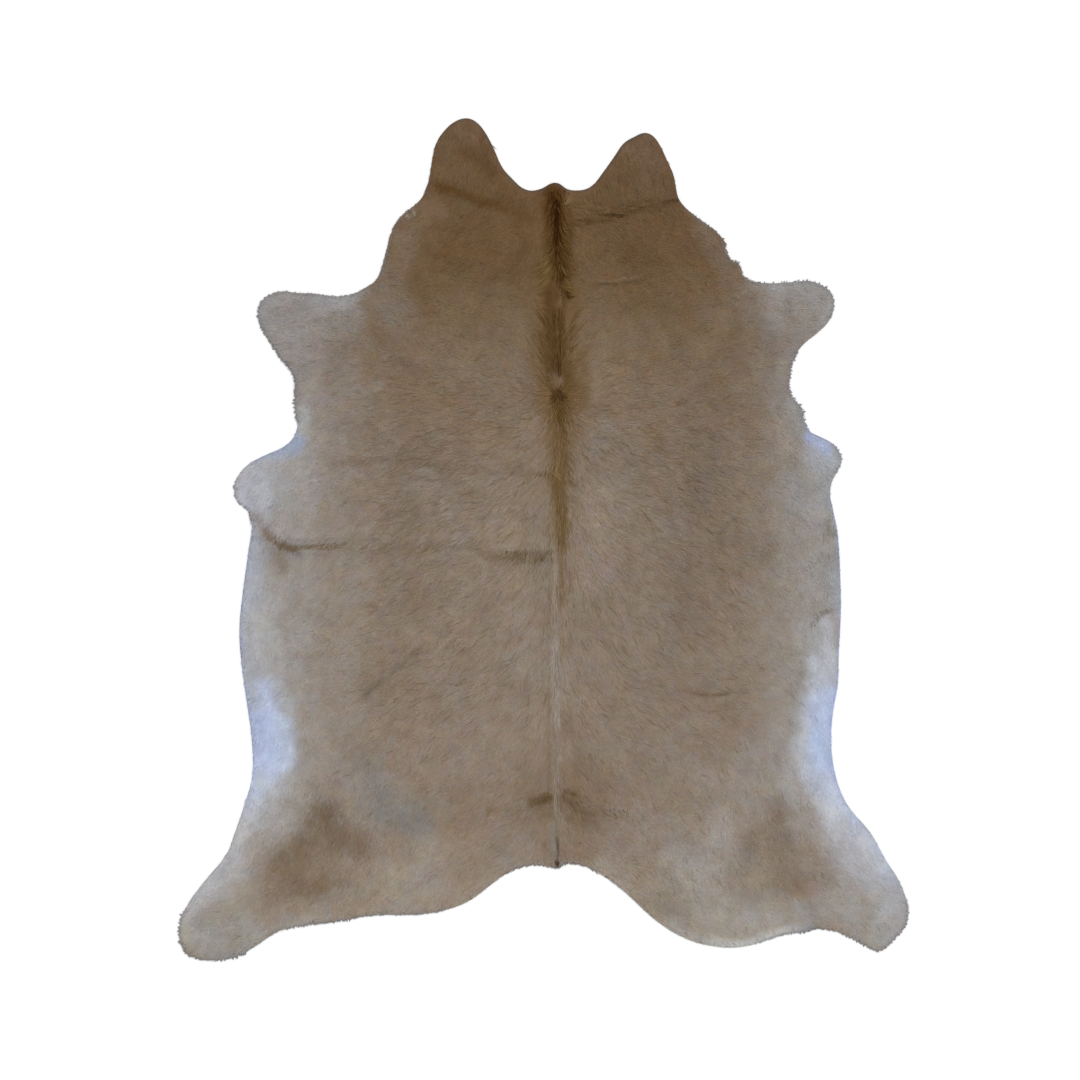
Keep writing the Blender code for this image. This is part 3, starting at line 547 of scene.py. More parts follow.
# At the folds, creases, hollows, ripples and nicks of the skin: mostly painted shade in their
# depths and on their shaded sides, and painted highlights on their lit lips; the small spots, the
# tail's grey and the flank's marks are the hair's own colour.
FOLD_SHADING_AND_MARKS = (
    ("neck fold left", (85, 60, 27), 0.85, 8.9, 13.1,
     "-277,926 -251,918 -219,907 -183,892 -151,881 -120,876"),
    ("neck fold left end", (107, 88, 70), 0.7, 7.8, 10.5, "-314,912 -295,905"),
    ("neck fold left far", (90, 66, 37), 0.7, 7.8, 18.3, "-125,876 -94,865 -49,850 -21,837"),
    ("neck fold left pale", (120, 99, 80), 0.5, 7.8, 15.7, "-314,881 -287,871 -256,855"),
    ("neck fold right", (84, 60, 32), 0.55, 2.1, 7.3,
     "178,850 202,850 230,860 270,871 304,881 348,889"),
    ("neck fold right end", (60, 42, 20), 0.85, 1.8, 4.2, "309,881 330,886 351,889"),
    ("neck fold right deep", (70, 48, 20), 0.45, 1, 2.9, "157,847 173,850 189,850"),
    ("neck fold right deep low", (70, 48, 20), 0.4, 1, 2.9, "170,842 183,842"),
    ("neck fold right upper", (72, 50, 22), 0.8, 1.3, 3.1, "121,858 147,852 173,847"),
    ("neck fold light", (126, 104, 76), 0.5, 5.8, 10.5, "74,876 121,863 162,858"),
    ("neck fold low", (98, 74, 44), 0.6, 2.6, 7.8, "58,826 121,831 178,837"),
    ("neck nick", (64, 56, 48), 0.85, 1.3, 3.1, "223,1041 241,1051 259,1059"),
    ("hump ripple", (82, 60, 36), 0.6, 1.6, 3.7, "131,659 157,669 183,664"),
    ("hump ripple right", (84, 62, 38), 0.55, 1.6, 3.7, "183,664 210,672 251,677"),
    ("hump ripple light", (134, 114, 90), 0.5, 1.8, 3.4, "147,677 178,677 204,682 241,687"),
    ("flank hollow", (100, 82, 58), 0.8, 5.2, 18.3, "-722,13 -701,-3 -669,-19 -646,-27"),
    ("flank hollow deep", (80, 60, 32), 0.8, 2.1, 8.9, "-698,-8 -675,-19 -649,-27"),
    ("flank hollow high", (130, 117, 106), 0.75, 7.8, 20.9, "-753,54 -737,28 -722,5"),
    ("flank hollow below", (124, 111, 95), 0.6, 10.5, 23.5, "-690,-45 -680,-74"),
    ("flank line", (104, 88, 64), 0.6, 2.1, 7.8, "-643,-27 -607,-24 -560,-24 -528,-21"),
    ("flank line faint", (112, 97, 76), 0.5, 2.1, 9.2,
     "-528,-21 -476,-32 -408,-29 -337,-24 -259,-21 -193,-19 -128,-35"),
    ("back hollow", (106, 88, 60), 0.75, 3.1, 13.1, "-115,-45 -63,-42 -10,-45 21,-48"),
    ("back hollow deep", (84, 64, 28), 0.85, 1.3, 4.7, "-83,-48 -36,-48 3,-50 19,-50"),
    ("back hollow green", (100, 88, 42), 0.6, 2.1, 5.8, "-99,-45 -89,-45"),
    ("back hollow green in", (96, 80, 36), 0.6, 2.1, 5.8, "-52,-45 -39,-45"),
    ("back hollow tail", (104, 86, 58), 0.6, 2.6, 7.8, "-162,-40 -131,-45 -104,-48"),
    ("back nick", (84, 62, 24), 0.9, 2.4, 4.7, "-18,170 5,172 32,175"),
    ("back nick tail", (112, 97, 80), 0.5, 2.6, 7.8, "-115,180 -68,177 -18,172"),
    ("rump hollow left", (58, 38, 8), 0.95, 2.9, 6.3, "0,-681 11,-678 19,-675"),
    ("rump hollow left edge", (94, 73, 44), 0.75, 4.2, 13.1, "-31,-691 -8,-683 16,-673"),
    ("rump hollow left tail", (112, 96, 74), 0.5, 2.1, 5.2,
     "-144,-712 -112,-707 -63,-702 -26,-694"),
    ("rump olive spot", (104, 88, 52), 0.7, 2.6, 4.7, "-146,-723 -138,-709"),
    ("rump hollow right", (82, 60, 24), 0.8, 2.4, 5.8, "55,-657 68,-657 79,-668"),
    ("rump brown right", (112, 92, 68), 0.45, 7.8, 15.7, "60,-678 79,-691"),
    ("rump line right", (92, 72, 46), 0.7, 1.6, 6.8, "71,-699 94,-709 126,-717"),
    ("rump line right tail", (110, 94, 74), 0.4, 1.3, 6.8, "126,-717 178,-725 251,-733"),
    ("rump line right high", (112, 95, 74), 0.35, 1.6, 7.3, "89,-675 147,-686 225,-702"),
    ("thigh streak", (98, 78, 54), 0.75, 2.9, 6.3, "393,-403 424,-406 455,-406 482,-403"),
    ("thigh streak end", (118, 100, 82), 0.5, 3.7, 10.5, "482,-401 500,-388 513,-375"),
    ("loin crease", (112, 101, 86), 0.7, 5.2, 11.8,
     "-471,-411 -444,-390 -413,-364 -382,-338 -350,-309 -324,-286"),
    ("loin crease light", (152, 138, 123), 0.6, 2.1, 6.3,
     "-282,-296 -251,-265 -219,-233 -193,-212"),
    ("tail line", (68, 54, 40), 0.9, 1.3, 3.7, "34,-775 37,-814 34,-861"),
    ("tail grey", (134, 131, 127), 0.6, 3.7, 6.3, "21,-751 24,-783 29,-814"),
    ("flank wrinkle left", (112, 97, 80), 0.5, 3.7, 9.4,
     "-560,196 -450,206 -350,206 -293,193 -240,183 -172,177 -115,177"),
    ("flank wrinkle left high", (112, 96, 78), 0.35, 2.6, 6.5, "-494,193 -434,209 -371,219"),
    ("flank shade right", (126, 123, 115), 0.75, 7.8, 18.3, "738,39 746,13"),
    ("flank mark right", (112, 107, 97), 0.55, 2.4, 6.8, "751,-184 728,-194 704,-199"),
    ("flank mark right low", (124, 117, 108), 0.45, 1.8, 5.2, "707,-207 699,-233 704,-260"),
    ("foreleg shade left", (112, 100, 90), 0.6, 2.6, 6.5, "-667,460 -649,455 -622,452"),
    ("foreleg spot left", (104, 84, 64), 0.5, 3.9, 7.8, "-408,405 -400,400"),
    ("neck spot left", (140, 132, 120), 0.8, 2.4, 3.7, "-340,860 -337,852"),
    ("neck spot left low", (144, 134, 124), 0.7, 2.4, 3.7, "-356,847 -350,842"),
    ("neck spot right", (138, 130, 116), 0.7, 1.8, 3.1, "385,795 387,792"),
)
# How far the streaks and clouds of the coat feather the edge of a mark.
STREAK_FEATHER = 0.22
CLOUD_FEATHER = 0.3
# Painted shade right at the cut, a dark slate tone for the shadow along the edge: where it
# starts to fade, and how deep it goes where the edge is clean or loose.
EDGE_SHADOW_TONE = (100, 98, 103)
CUT_SHADOW_FROM = 0.0003
CUT_SHADOW_DEPTHS = (0.0018, 0.0032)


def route_points(route):
    """Gives the points of a route, in metres."""
    return [[int(v) / 1000 for v in step.split(",")] for step in route.split()]


def beside_route(x, y, route):
    """Measures how far each place is from a line through the route's points."""
    points = route_points(route)
    away = np.full(x.shape, np.inf)
    for (ax, ay), (bx, by) in zip(points, points[1:]):
        run = (bx - ax) ** 2 + (by - ay) ** 2
        share = np.clip(((x - ax) * (bx - ax) + (y - ay) * (by - ay)) / run, 0, 1)
        away = np.minimum(away, np.hypot(x - ax - share * (bx - ax), y - ay - share * (by - ay)))
    return away


def beside_spine(x, y):
    """Gives the distance from the spine, to the right above zero and to the left below."""
    return x - np.interp(y, *SPINE)


def on_the_back(x, y):
    """Says how far each place is part of the back, where the hair is longest and liveliest."""
    middle = 1 - smooth(*BACK_DISTANCES, np.abs(beside_spine(x, y)))
    return middle * between(BACK_ENDS, y)


# Where the hair reaches past the cut edge: how far, and the line of the edge there, in
# millimetres. Elsewhere it reaches past by the overhang at most.
OVERHANG = 0.001
LOOSE_EDGE_WIDTHS = (0.012, 0.030)
LOOSE_EDGES = (
    ("left shoulder", 2.4, "-345,876 -366,850 -384,803 -405,729 -429,677"),
    ("left foreleg", 7.5, "-732,630 -748,593 -732,551 -701,504 -664,457"),
    ("left foreleg low", 9.5, "-664,457 -646,426 -641,384 -649,353 -638,326"),
    ("left foreleg top", 2.6, "-717,643 -683,648 -638,640 -560,635 -507,633"),
    ("left belly lobe", 5, "-805,138 -798,104 -779,86 -761,67"),
    ("left hind tip", 7, "-947,-987 -957,-1023 -941,-1065 -910,-1094 -860,-1102 -795,-1086"),
    ("left hind edge", 7, "-654,-1018 -622,-1005 -586,-1000 -544,-989 -502,-982"),
    ("left hind edge in", 3.5, "-502,-982 -429,-976 -350,-976 -277,-966"),
    ("rump", 5, "-83,-861 -49,-851 -10,-848 42,-859 81,-845 121,-853"),
    ("right haunch", 3, "571,-1055 591,-1039"),
    ("right hind edge", 5, "628,-1029 657,-1023 691,-1018 738,-1013"),
    ("right hind leg", 5.5, "796,-1034 832,-1060 874,-1070 905,-1039 942,-992 947,-958"),
    ("right shoulder", 2.6, "382,834 424,808 450,782"),
    ("right shoulder low", 6.2, "450,782 476,735 508,714 518,687 534,674"),
    ("right foreleg", 5.5, "539,674 578,669 631,669 686,677 728,656"),
    ("right foreleg tip", 3, "728,656 754,625 751,593"),
    ("right armpit", 7.5, "646,473 636,436 636,400 649,363 670,332 680,306"),
    ("right belly lobe", 5, "769,232 775,211 769,196"),
)


def overhang(x, y):
    """Says how far past the cut edge the hair may reach at each place."""
    reach = np.full(len(x), OVERHANG)
    for name, length, route in LOOSE_EDGES:
        near = 1 - smooth(*LOOSE_EDGE_WIDTHS, beside_route(x, y, route))
        reach = np.maximum(reach, length / 1000 * near)
    return reach


def painted(colour, share, seen):
    """Lays one seen colour over the coat, as strongly as the share says."""
    return colour * (1 - share[:, None]) + linear(*seen) * share[:, None]


def marked(colour, x, y, streaks, marks):
    """Lays each mark of a table over the coat, feathered along the hair."""
    for name, seen, strength, half, soft, route in marks:
        half, soft = half / 1000, soft / 1000
        away = beside_route(x, y, route)
        feathers = STREAK_FEATHER * streaks + CLOUD_FEATHER * clouds(x, y, half + soft, 4)
        share = strength * (1 - smooth(half - 0.7 * soft, half + soft, away + feathers * soft))
        colour = painted(colour, share, seen)
    return colour


def brown_share(colour):
    """Gives 0 for grey or white hair, up to 1 for plain brown hair."""
    return np.clip((colour[:, :1] - colour[:, 2:]) / (0.35 * colour[:, :1]), 0, 1)


def varied(colour, light, depths):
    """Lightens or darkens hair by these factors, and brown hair by its own for each channel."""
    return colour * light[:, None] ** (1 + brown_share(colour) * (np.array(depths) - 1))


def coat_colour_and_shading(x, y, streaks):
    """Gives the coat's linear colour at each place, with painted shade and highlights at its folds,
    spine ridge and cut edge and painted cool light on its white hair; streaks, -1 to 1, feather the
    marks.
    """
    parts, rows, seen = zip(*TONES)
    channels = np.array([linear(*tone) for tone in seen]).T
    colour = np.column_stack([np.interp(y, rows, channel) for channel in channels])
    out = np.abs(beside_spine(x, y)) + 0.03 * clouds(x, y, 0.09, 3)
    belly = BELLY_SHARE * between(BODY_ENDS, y) * smooth(*BELLY_DISTANCES, out)
    colour = painted(colour, belly, BELLY_SIDE)
    colour = marked(colour, x, y, streaks, PATCHES)
    inset = read(inset_field, x, y)
    uneven = inset * (1 + 0.3 * clouds(x, y, 0.04, 9) + 0.1 * streaks)
    # The bluish edge tones lay painted cool light on the white hair at the cut.
    for name, seen, strength, full, none, reach, route in EDGE_TONES:
        full, none, reach = full / 1000, none / 1000, reach / 1000
        along = 1 - smooth(0.5 * reach, reach + 0.04, beside_route(x, y, route))
        colour = painted(colour, strength * along * (1 - smooth(full, none, uneven)), seen)
    light = cloudy(x, y, LIGHT_CLOUDS)
    light = light + cloudy(x, y, BACK_CLOUDS) * (1.2 + 0.25 * on_the_back(x, y))
    warm, olive = cloudy(x, y, WARM_CLOUDS), cloudy(x, y, OLIVE_CLOUDS)
    tint = np.column_stack([0.6 * warm, olive, -warm]) * (0.4 + 0.6 * brown_share(colour))
    colour = varied(colour, 1 + light, CLOUD_DEPTHS) * (1 + tint)
    # The spine's dark hair, and the painted highlight and shade of its ridge.
    colour = marked(colour, x, y, streaks, SPINE_MARKS_AND_RIDGE_SHADING)
    # Painted shade and highlights of the skin's folds.
    colour = marked(colour, x, y, streaks, FOLD_SHADING_AND_MARKS)
    # Painted shade along the cut: the dark slate tone laid over the coat at the very edge, broken
    # and uneven, wider where the hair hangs loose over it.
    loose = smooth(0.001, 0.005, overhang(x, y))
    uneven = inset + 0.0012 * clouds(x, y, 0.007, 16)
    broken = 0.7 + 0.5 * clouds(x, y, 0.016, 20)
    plain = 0.1 + 0.2 * brown_share(colour)[:, 0]
    depth = CUT_SHADOW_DEPTHS[0] * (1 - loose) + CUT_SHADOW_DEPTHS[1] * loose
    share = broken * (plain + 0.35 * loose) * (1 - smooth(CUT_SHADOW_FROM, depth, uneven))
    return painted(colour, share, EDGE_SHADOW_TONE) * HAIR_GAIN


def new_mesh(name, points, triangles):
    """Makes an object from arrays of points and triangles, smooth shaded."""
    mesh = bpy.data.meshes.new(name)
    mesh.vertices.add(len(points))
    mesh.vertices.foreach_set("co", np.ascontiguousarray(points, np.float32).ravel())
    mesh.loops.add(triangles.size)
    mesh.loops.foreach_set("vertex_index", np.ascontiguousarray(triangles, np.int32).ravel())
    mesh.polygons.add(len(triangles))
    mesh.polygons.foreach_set("loop_start", np.arange(0, triangles.size, 3, dtype=np.int32))
    mesh.update(calc_edges=True)
    mesh.polygons.foreach_set("use_smooth", np.ones(len(triangles), bool))
    piece = bpy.data.objects.new(name, mesh)
    bpy.context.scene.collection.objects.link(piece)
    return piece


def colour_points(piece, colours):
    """Stores a linear colour on each point of a piece, for its material to read."""
    layer = piece.data.attributes.new("tone", "FLOAT_COLOR", "POINT")
    filled = np.ones((len(colours), 4), np.float32)
    filled[:, :3] = colours
    layer.data.foreach_set("color", filled.ravel())


def map_corners(piece, name, corners):
    """Stores a flat map of the piece, one pair of numbers for each corner of its faces."""
    layer = piece.data.uv_layers.new(name=name)
    layer.data.foreach_set("uv", np.ascontiguousarray(corners, np.float32).ravel())


def skin_net():
    """Nets the hide's outline with even triangles: the points, and the triangles as numbers."""
    rows = np.arange(cad_low.y, cad_high.y, SKIN_CELL * ROW_TO_CELL)
    grid = [
        (x + (SKIN_CELL / 2 if n % 2 else 0), y)
        for n, y in enumerate(rows)
        for x in np.arange(cad_low.x, cad_high.x, SKIN_CELL)
    ]
    grid = np.array(grid)
    grid += np.random.default_rng(5).normal(0, SKIN_CELL * SKIN_CELL_JITTER, grid.shape)
    grid = grid[read(inset_field, grid[:, 0], grid[:, 1]) > SKIN_CELL_INSET]
    net = delaunay_2d_cdt(np.vstack([rim, grid]).tolist(), [], [list(range(len(rim)))], 1, 1e-6)
    points = np.array([tuple(p) for p in net[0]])
    return points, np.array([face for face in net[2] if len(face) == 3])


def skin_mesh():
    """Builds the closed skin: its upper side, the cut edge and the flat flesh side."""
    flat, faces = skin_net()
    turns = flat[faces]
    ahead, beside = turns[:, 1] - turns[:, 0], turns[:, 2] - turns[:, 0]
    backwards = ahead[:, 0] * beside[:, 1] - ahead[:, 1] * beside[:, 0] < 0
    faces[backwards] = faces[backwards][:, ::-1]
    count, around = len(flat), len(rim)
    top = np.column_stack([flat, skin_top(flat[:, 0], flat[:, 1])])
    flesh = np.column_stack([flat, np.zeros(count)])
    middle = np.column_stack([rim, CUT_EDGE_MIDDLE * top[:around, 2]])
    here = np.arange(around)
    there = (here + 1) % around
    mid, low = 2 * count + here, count + here
    mid_there, low_there = 2 * count + there, count + there
    wall = [
        np.column_stack([here, mid, mid_there]),
        np.column_stack([here, mid_there, there]),
        np.column_stack([mid, low, low_there]),
        np.column_stack([mid, low_there, mid_there]),
    ]
    triangles = np.vstack([faces, count + faces[:, ::-1], *wall])
    return np.vstack([top, flesh, middle]), triangles, count, len(faces)


def skin_map(points, triangles, upper_faces):
    """Spreads the skin flat: upper side large, flesh side small, cut edge as a long strip."""
    corners = points[triangles]
    spread = np.zeros((len(triangles), 3, 2))
    upper, flesh = slice(0, upper_faces), slice(upper_faces, 2 * upper_faces)
    low = np.array([cad_low.x, cad_low.y])
    spread[upper] = UPPER_MAP[0] + (corners[upper][:, :, :2] - low) * UPPER_MAP[1]
    spread[flesh] = FLESH_MAP[0] + (corners[flesh][:, :, :2] - low) * FLESH_MAP[1]
    around = len(rim)
    stops = np.arange(around) / around
    for part, ends in enumerate(EDGE_STRIPS):
        first = 2 * upper_faces + part * around
        number = stops[:, None] + np.array(((0, 0, 1), (0, 1, 1))[part % 2]) / around
        is_low = np.array(((0, 1, 1), (0, 1, 0))[part % 2], bool)
        spread[first : first + around, :, 1] = EDGE_RUN[0] + EDGE_RUN[1] * number
        spread[first : first + around, :, 0] = np.where(is_low, ends[1], ends[0])
    return spread


points, triangles, count, upper_faces = skin_mesh()
skin = new_mesh("skin", points, triangles)
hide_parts("hide")
tones = np.tile(linear(*FLESH_SIDE), (len(points), 1))
# Painted shade: the skin's upper side is the coat's colour darkened for the shade under the hair,
# and its cut edge darker still for the shadow along it.
tones[:count] = UNDERCOAT_SHADE * coat_colour_and_shading(*points[:count, :2].T, np.zeros(count))
tones[: len(rim)] *= CUT_EDGE_SHADE / UNDERCOAT_SHADE
tones[2 * count :] = tones[: len(rim)]
colour_points(skin, tones)
map_corners(skin, "OFBake", skin_map(points, triangles, upper_faces))


def add_node(material, kind, **inputs):
    """Adds a node of one kind to a material, with some of its inputs set."""
    made = material.node_tree.nodes.new("ShaderNode" + kind)
    for name, value in inputs.items():
        made.inputs[name.replace("_", " ")].default_value = value
    return made


def join_nodes(material, *links):
    """Joins nodes: each link is a node, its output, the node that takes it, and its input."""
    for giver, output, taker, taken in links:
        material.node_tree.links.new(giver.outputs[output], taker.inputs[taken])


def toned_material(name, gloss, shades, roughness, relief):
    """Starts a material that shows the stored tone, and gives its depth, gloss and relief.

    The shades are the range of a texture that counts, and the factors that it becomes; the
    roughness has its least and most; the relief has its strength and height.
    """
    material = bpy.data.materials.new(name)
    material.use_nodes = True
    surface = material.node_tree.nodes["Principled BSDF"]
    surface.inputs["Specular IOR Level"].default_value = gloss
    tone = add_node(material, "Attribute")
    tone.attribute_name = "tone"
    ranges = dict(zip(("From_Min", "From_Max", "To_Min", "To_Max"), shades))
    depth = add_node(material, "MapRange", **ranges)
    tinted = add_node(material, "Mix")
    tinted.data_type, tinted.blend_type = "RGBA", "MULTIPLY"
    tinted.inputs["Factor"].default_value = 1
    rough = add_node(material, "MapRange", To_Min=roughness[0], To_Max=roughness[1])
    bump = add_node(material, "Bump", Strength=relief[0], Distance=relief[1])
    join_nodes(
        material,
        (tone, "Color", tinted, "A"),
        (depth, "Result", tinted, "B"),
        (tinted, "Result", surface, "Base Color"),
        (rough, "Result", surface, "Roughness"),
        (bump, "Normal", surface, "Normal"),
    )
    return material, depth, rough, bump


def skin_material():
    """Leather with its coat shaved into the colour: blotched, with a fine uneven grain."""
    material, depth, rough, bump = toned_material(
        "tanned_skin", 0.1, (0.12, 0.42, 0.78, 1.18), (0.72, 0.95), (0.5, 0.0006)
    )
    place = add_node(material, "TexCoord")
    grain = add_node(material, "TexNoise", Scale=420, Detail=5)
    blotch = add_node(material, "TexNoise", Scale=28, Detail=3)
    both = add_node(material, "Math")
    both.operation = "MULTIPLY"
    join_nodes(
        material,
        (place, "Object", grain, "Vector"),
        (place, "Object", blotch, "Vector"),
        (grain, "Fac", both, 0),
        (blotch, "Fac", both, 1),
        (both, "Value", depth, "Value"),
        (blotch, "Fac", rough, "Value"),
        (grain, "Fac", bump, "Height"),
    )
    return material


skin.data.materials.append(skin_material())
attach(skin, "root")


# ---- The short coat -------------------------------------------------------------------
# Short glossy hair, 10 to 20 mm long, lying flat in fine locks. It runs from the spine out
# over the ribs and back towards the tail, turns at the shoulders, and opens in a whorl on
# the crest and one on each flank. Each band of the body is one joined mesh of its locks.

LOCKS_PER_SQUARE_METRE = 110000
SCATTER = 0.35
LOCK_LENGTH = (0.010, 0.021)
LOCK_SHORTEST = 0.004
LOCK_WIDTH = (0.0014, 0.0026)
LOCK_LIFT = (0.0006, 0.0018)
LOCK_SWING = 0.26
LOCK_UNEVENNESS = 0.045
LOCK_BEND = 0.09
LOCK_INSET = 0.0012
# Locks beside the spine are longer, by this share.
SPINE_GAIN = 0.45
SPINE_GAIN_DISTANCES = (0.15, 0.4)
# How wide a lock may be for its length, where it is widest, and how far it sinks past
# the cut.
WIDEST = 0.35
WIDE_POINT = 0.45
SINK = 0.0012
SINK_REACH = 0.006
# How light each of a lock's four points is, from its root to its tip, and the least and
# most that hair may reflect.
LOCK_ENDS = (0.86, 0.98, 0.98, 1.07)
REFLECTS = (0.004, 0.95)
# Light and dark drawn out along the locks: size, reach in sizes and number of the pattern,
# and how far a single pattern spreads.
STREAK_SPREAD = 0.83
FINE_STREAKS = (0.0024, 2, 21)
TUFT_STREAKS = (0.006, 1, 23)
WARM_STREAKS = (0.012, 1, 27)
# How strongly red, green and blue vary with the light and dark of the locks.
SHADE_DEPTHS = (0.78, 0.98, 1.55)
# How uneven the locks are in tone: heights along the hide, and a share of the most at each.
LIVELY = (
    (-1.1, -0.85, -0.72, -0.5, -0.25, 0, 0.3, 0.8),
    (0.6, 1, 0.8, 0.5, 0.55, 0.87, 0.81, 1.1),
)
# The coat on the hide's right side lies a little smoother.
RIGHT_CALM = 0.2
RIGHT_CALM_FROM = (0.03, 0.25)
# Painted shade: where the coat lies flatter and its locks cast less shadow, they are darkened down
# towards this factor.
CALM_SHADE = 0.9
BAND_EDGES = (-2, -0.6, -0.2, 0.2, 0.6, 2)
BAND_NAMES = ("coat_haunches", "coat_flanks", "coat_ribs", "coat_shoulders", "coat_neck")
# How the hair lies: height along the hide, then degrees from straight back towards the
# tail, turned outwards, at each of the distances from the spine.
LIE_DISTANCES = (0, 0.05, 0.12, 0.25, 0.45, 0.65, 0.85)
LIE_CLOUDS = ((0.16, 0.06, 11), (0.16, 0.02, 12), (0.2, 0.009, 13))
RIGHT_FLANK_TURN = 0.1
RIGHT_FLANK_FROM = (0.5, 0.62)
LIE = (
    (-1.05, 2, 20, 45, 42, 38, 42, 50),
    (-0.93, 2, 20, 46, 42, 33, 38, 46),
    (-0.85, 2, 18, 46, 45, 30, 32, 42),
    (-0.77, 3, 24, 56, 45, 20, 16, 27),
    (-0.68, 4, 22, 46, 44, 28, 22, 15),
    (-0.60, 3, 16, 34, 40, 36, 24, 10),
    (-0.52, 3, 18, 40, 46, 46, 36, 4),
    (-0.43, 3, 20, 46, 58, 60, 58, 4),
    (-0.35, 3, 22, 50, 58, 58, 62, 4),
    (-0.265, 2, 16, 38, 50, 55, 56, 0),
    (-0.18, 2, 14, 34, 50, 54, 42, -2),
    (-0.10, 2, 15, 38, 52, 50, 45, 3),
    (-0.014, 2, 16, 42, 60, 60, 50, 5),
    (0.07, 2, 20, 42, 60, 60, 46, 15),
    (0.15, 3, 30, 56, 68, 65, 50, 35),
    (0.24, 3, 36, 70, 78, 72, 55, 25),
    (0.33, 4, 55, 88, 86, 80, 52, 20),
    (0.41, 90, 112, 100, 92, 86, 62, 35),
    (0.49, 172, 135, 104, 92, 88, 80, 72),
    (0.57, 174, 140, 104, 93, 90, 92, 95),
    (0.63, 120, 98, 86, 84, 84, 84, 84),
    (0.68, 14, 44, 62, 76, 78, 74, 60),
    (0.74, 8, 38, 52, 62, 56, 50, 45),
    (0.82, 6, 34, 52, 56, 44, 40, 40),
    (0.95, 4, 12, 16, 20, 22, 26, 30),
    (1.10, 4, 8, 12, 14, 16, 18, 20),
)
# Whorls: place, reach, and how far the hair twists as it leaves the middle, in degrees.
WHORL_STRENGTH = 1.6
WHORLS = ((0.037, 0.385, 0.03, 10), (-0.690, -0.244, 0.045, 55), (0.722, -0.215, 0.035, -50))


def lie_of_hair(x, y):
    """Gives the direction that the hair lies in at each place, as a unit step in x and y."""
    out = beside_spine(x, y)
    rows, *turns = zip(*LIE)
    columns = [np.interp(y, rows, degrees) for degrees in turns]
    away = np.abs(out) + RIGHT_FLANK_TURN * smooth(*RIGHT_FLANK_FROM, out)
    away = np.clip(away, 0, LIE_DISTANCES[-1] - 0.001)
    turn = np.zeros(len(x))
    for k, (near, far) in enumerate(zip(LIE_DISTANCES, LIE_DISTANCES[1:])):
        here = (away >= near) & (away < far)
        share = (away - near) / (far - near)
        turn = np.where(here, columns[k] * (1 - share) + columns[k + 1] * share, turn)
    turn = np.radians(turn * np.where(out < 0, -1, 1))
    turn += cloudy(x, y, LIE_CLOUDS)
    step_x, step_y = np.sin(turn), -np.cos(turn)
    for place_x, place_y, reach, twist in WHORLS:
        dx, dy = x - place_x, y - place_y
        gap = np.hypot(dx, dy) + 1e-6
        share = np.exp(-((gap / reach) ** 2)) * WHORL_STRENGTH
        c, s = math.cos(math.radians(twist)), math.sin(math.radians(twist))
        step_x = step_x + share * (dx * c - dy * s) / gap
        step_y = step_y + share * (dx * s + dy * c) / gap
    size = np.hypot(step_x, step_y) + 1e-9
    return step_x / size, step_y / size


def drawn_streaks(x, y, step_x, step_y, cell, reach, number):
    """Random light and dark drawn out along the hair by some cells, from about -1 to 1."""
    spots = [(x + k * cell * step_x, y + k * cell * step_y) for k in range(-reach, reach + 1)]
    total = sum(clouds(*spot, cell, number) for spot in spots)
    return total / (STREAK_SPREAD * math.sqrt(len(spots)))


def scattered(per_square_metre, seed):
    """Scatters places evenly but not in rows over the whole hide."""
    draw = np.random.default_rng(seed)
    cell = math.sqrt(1 / (per_square_metre * ROW_TO_CELL))
    rows = np.arange(cad_low.y, cad_high.y, cell * ROW_TO_CELL)
    columns = np.arange(cad_low.x, cad_high.x, cell)
    x, y = np.meshgrid(columns, rows)
    x[1::2] += cell / 2
    x = x + draw.normal(0, SCATTER * cell, x.shape)
    y = y + draw.normal(0, SCATTER * cell, y.shape)
    return x.ravel(), y.ravel()


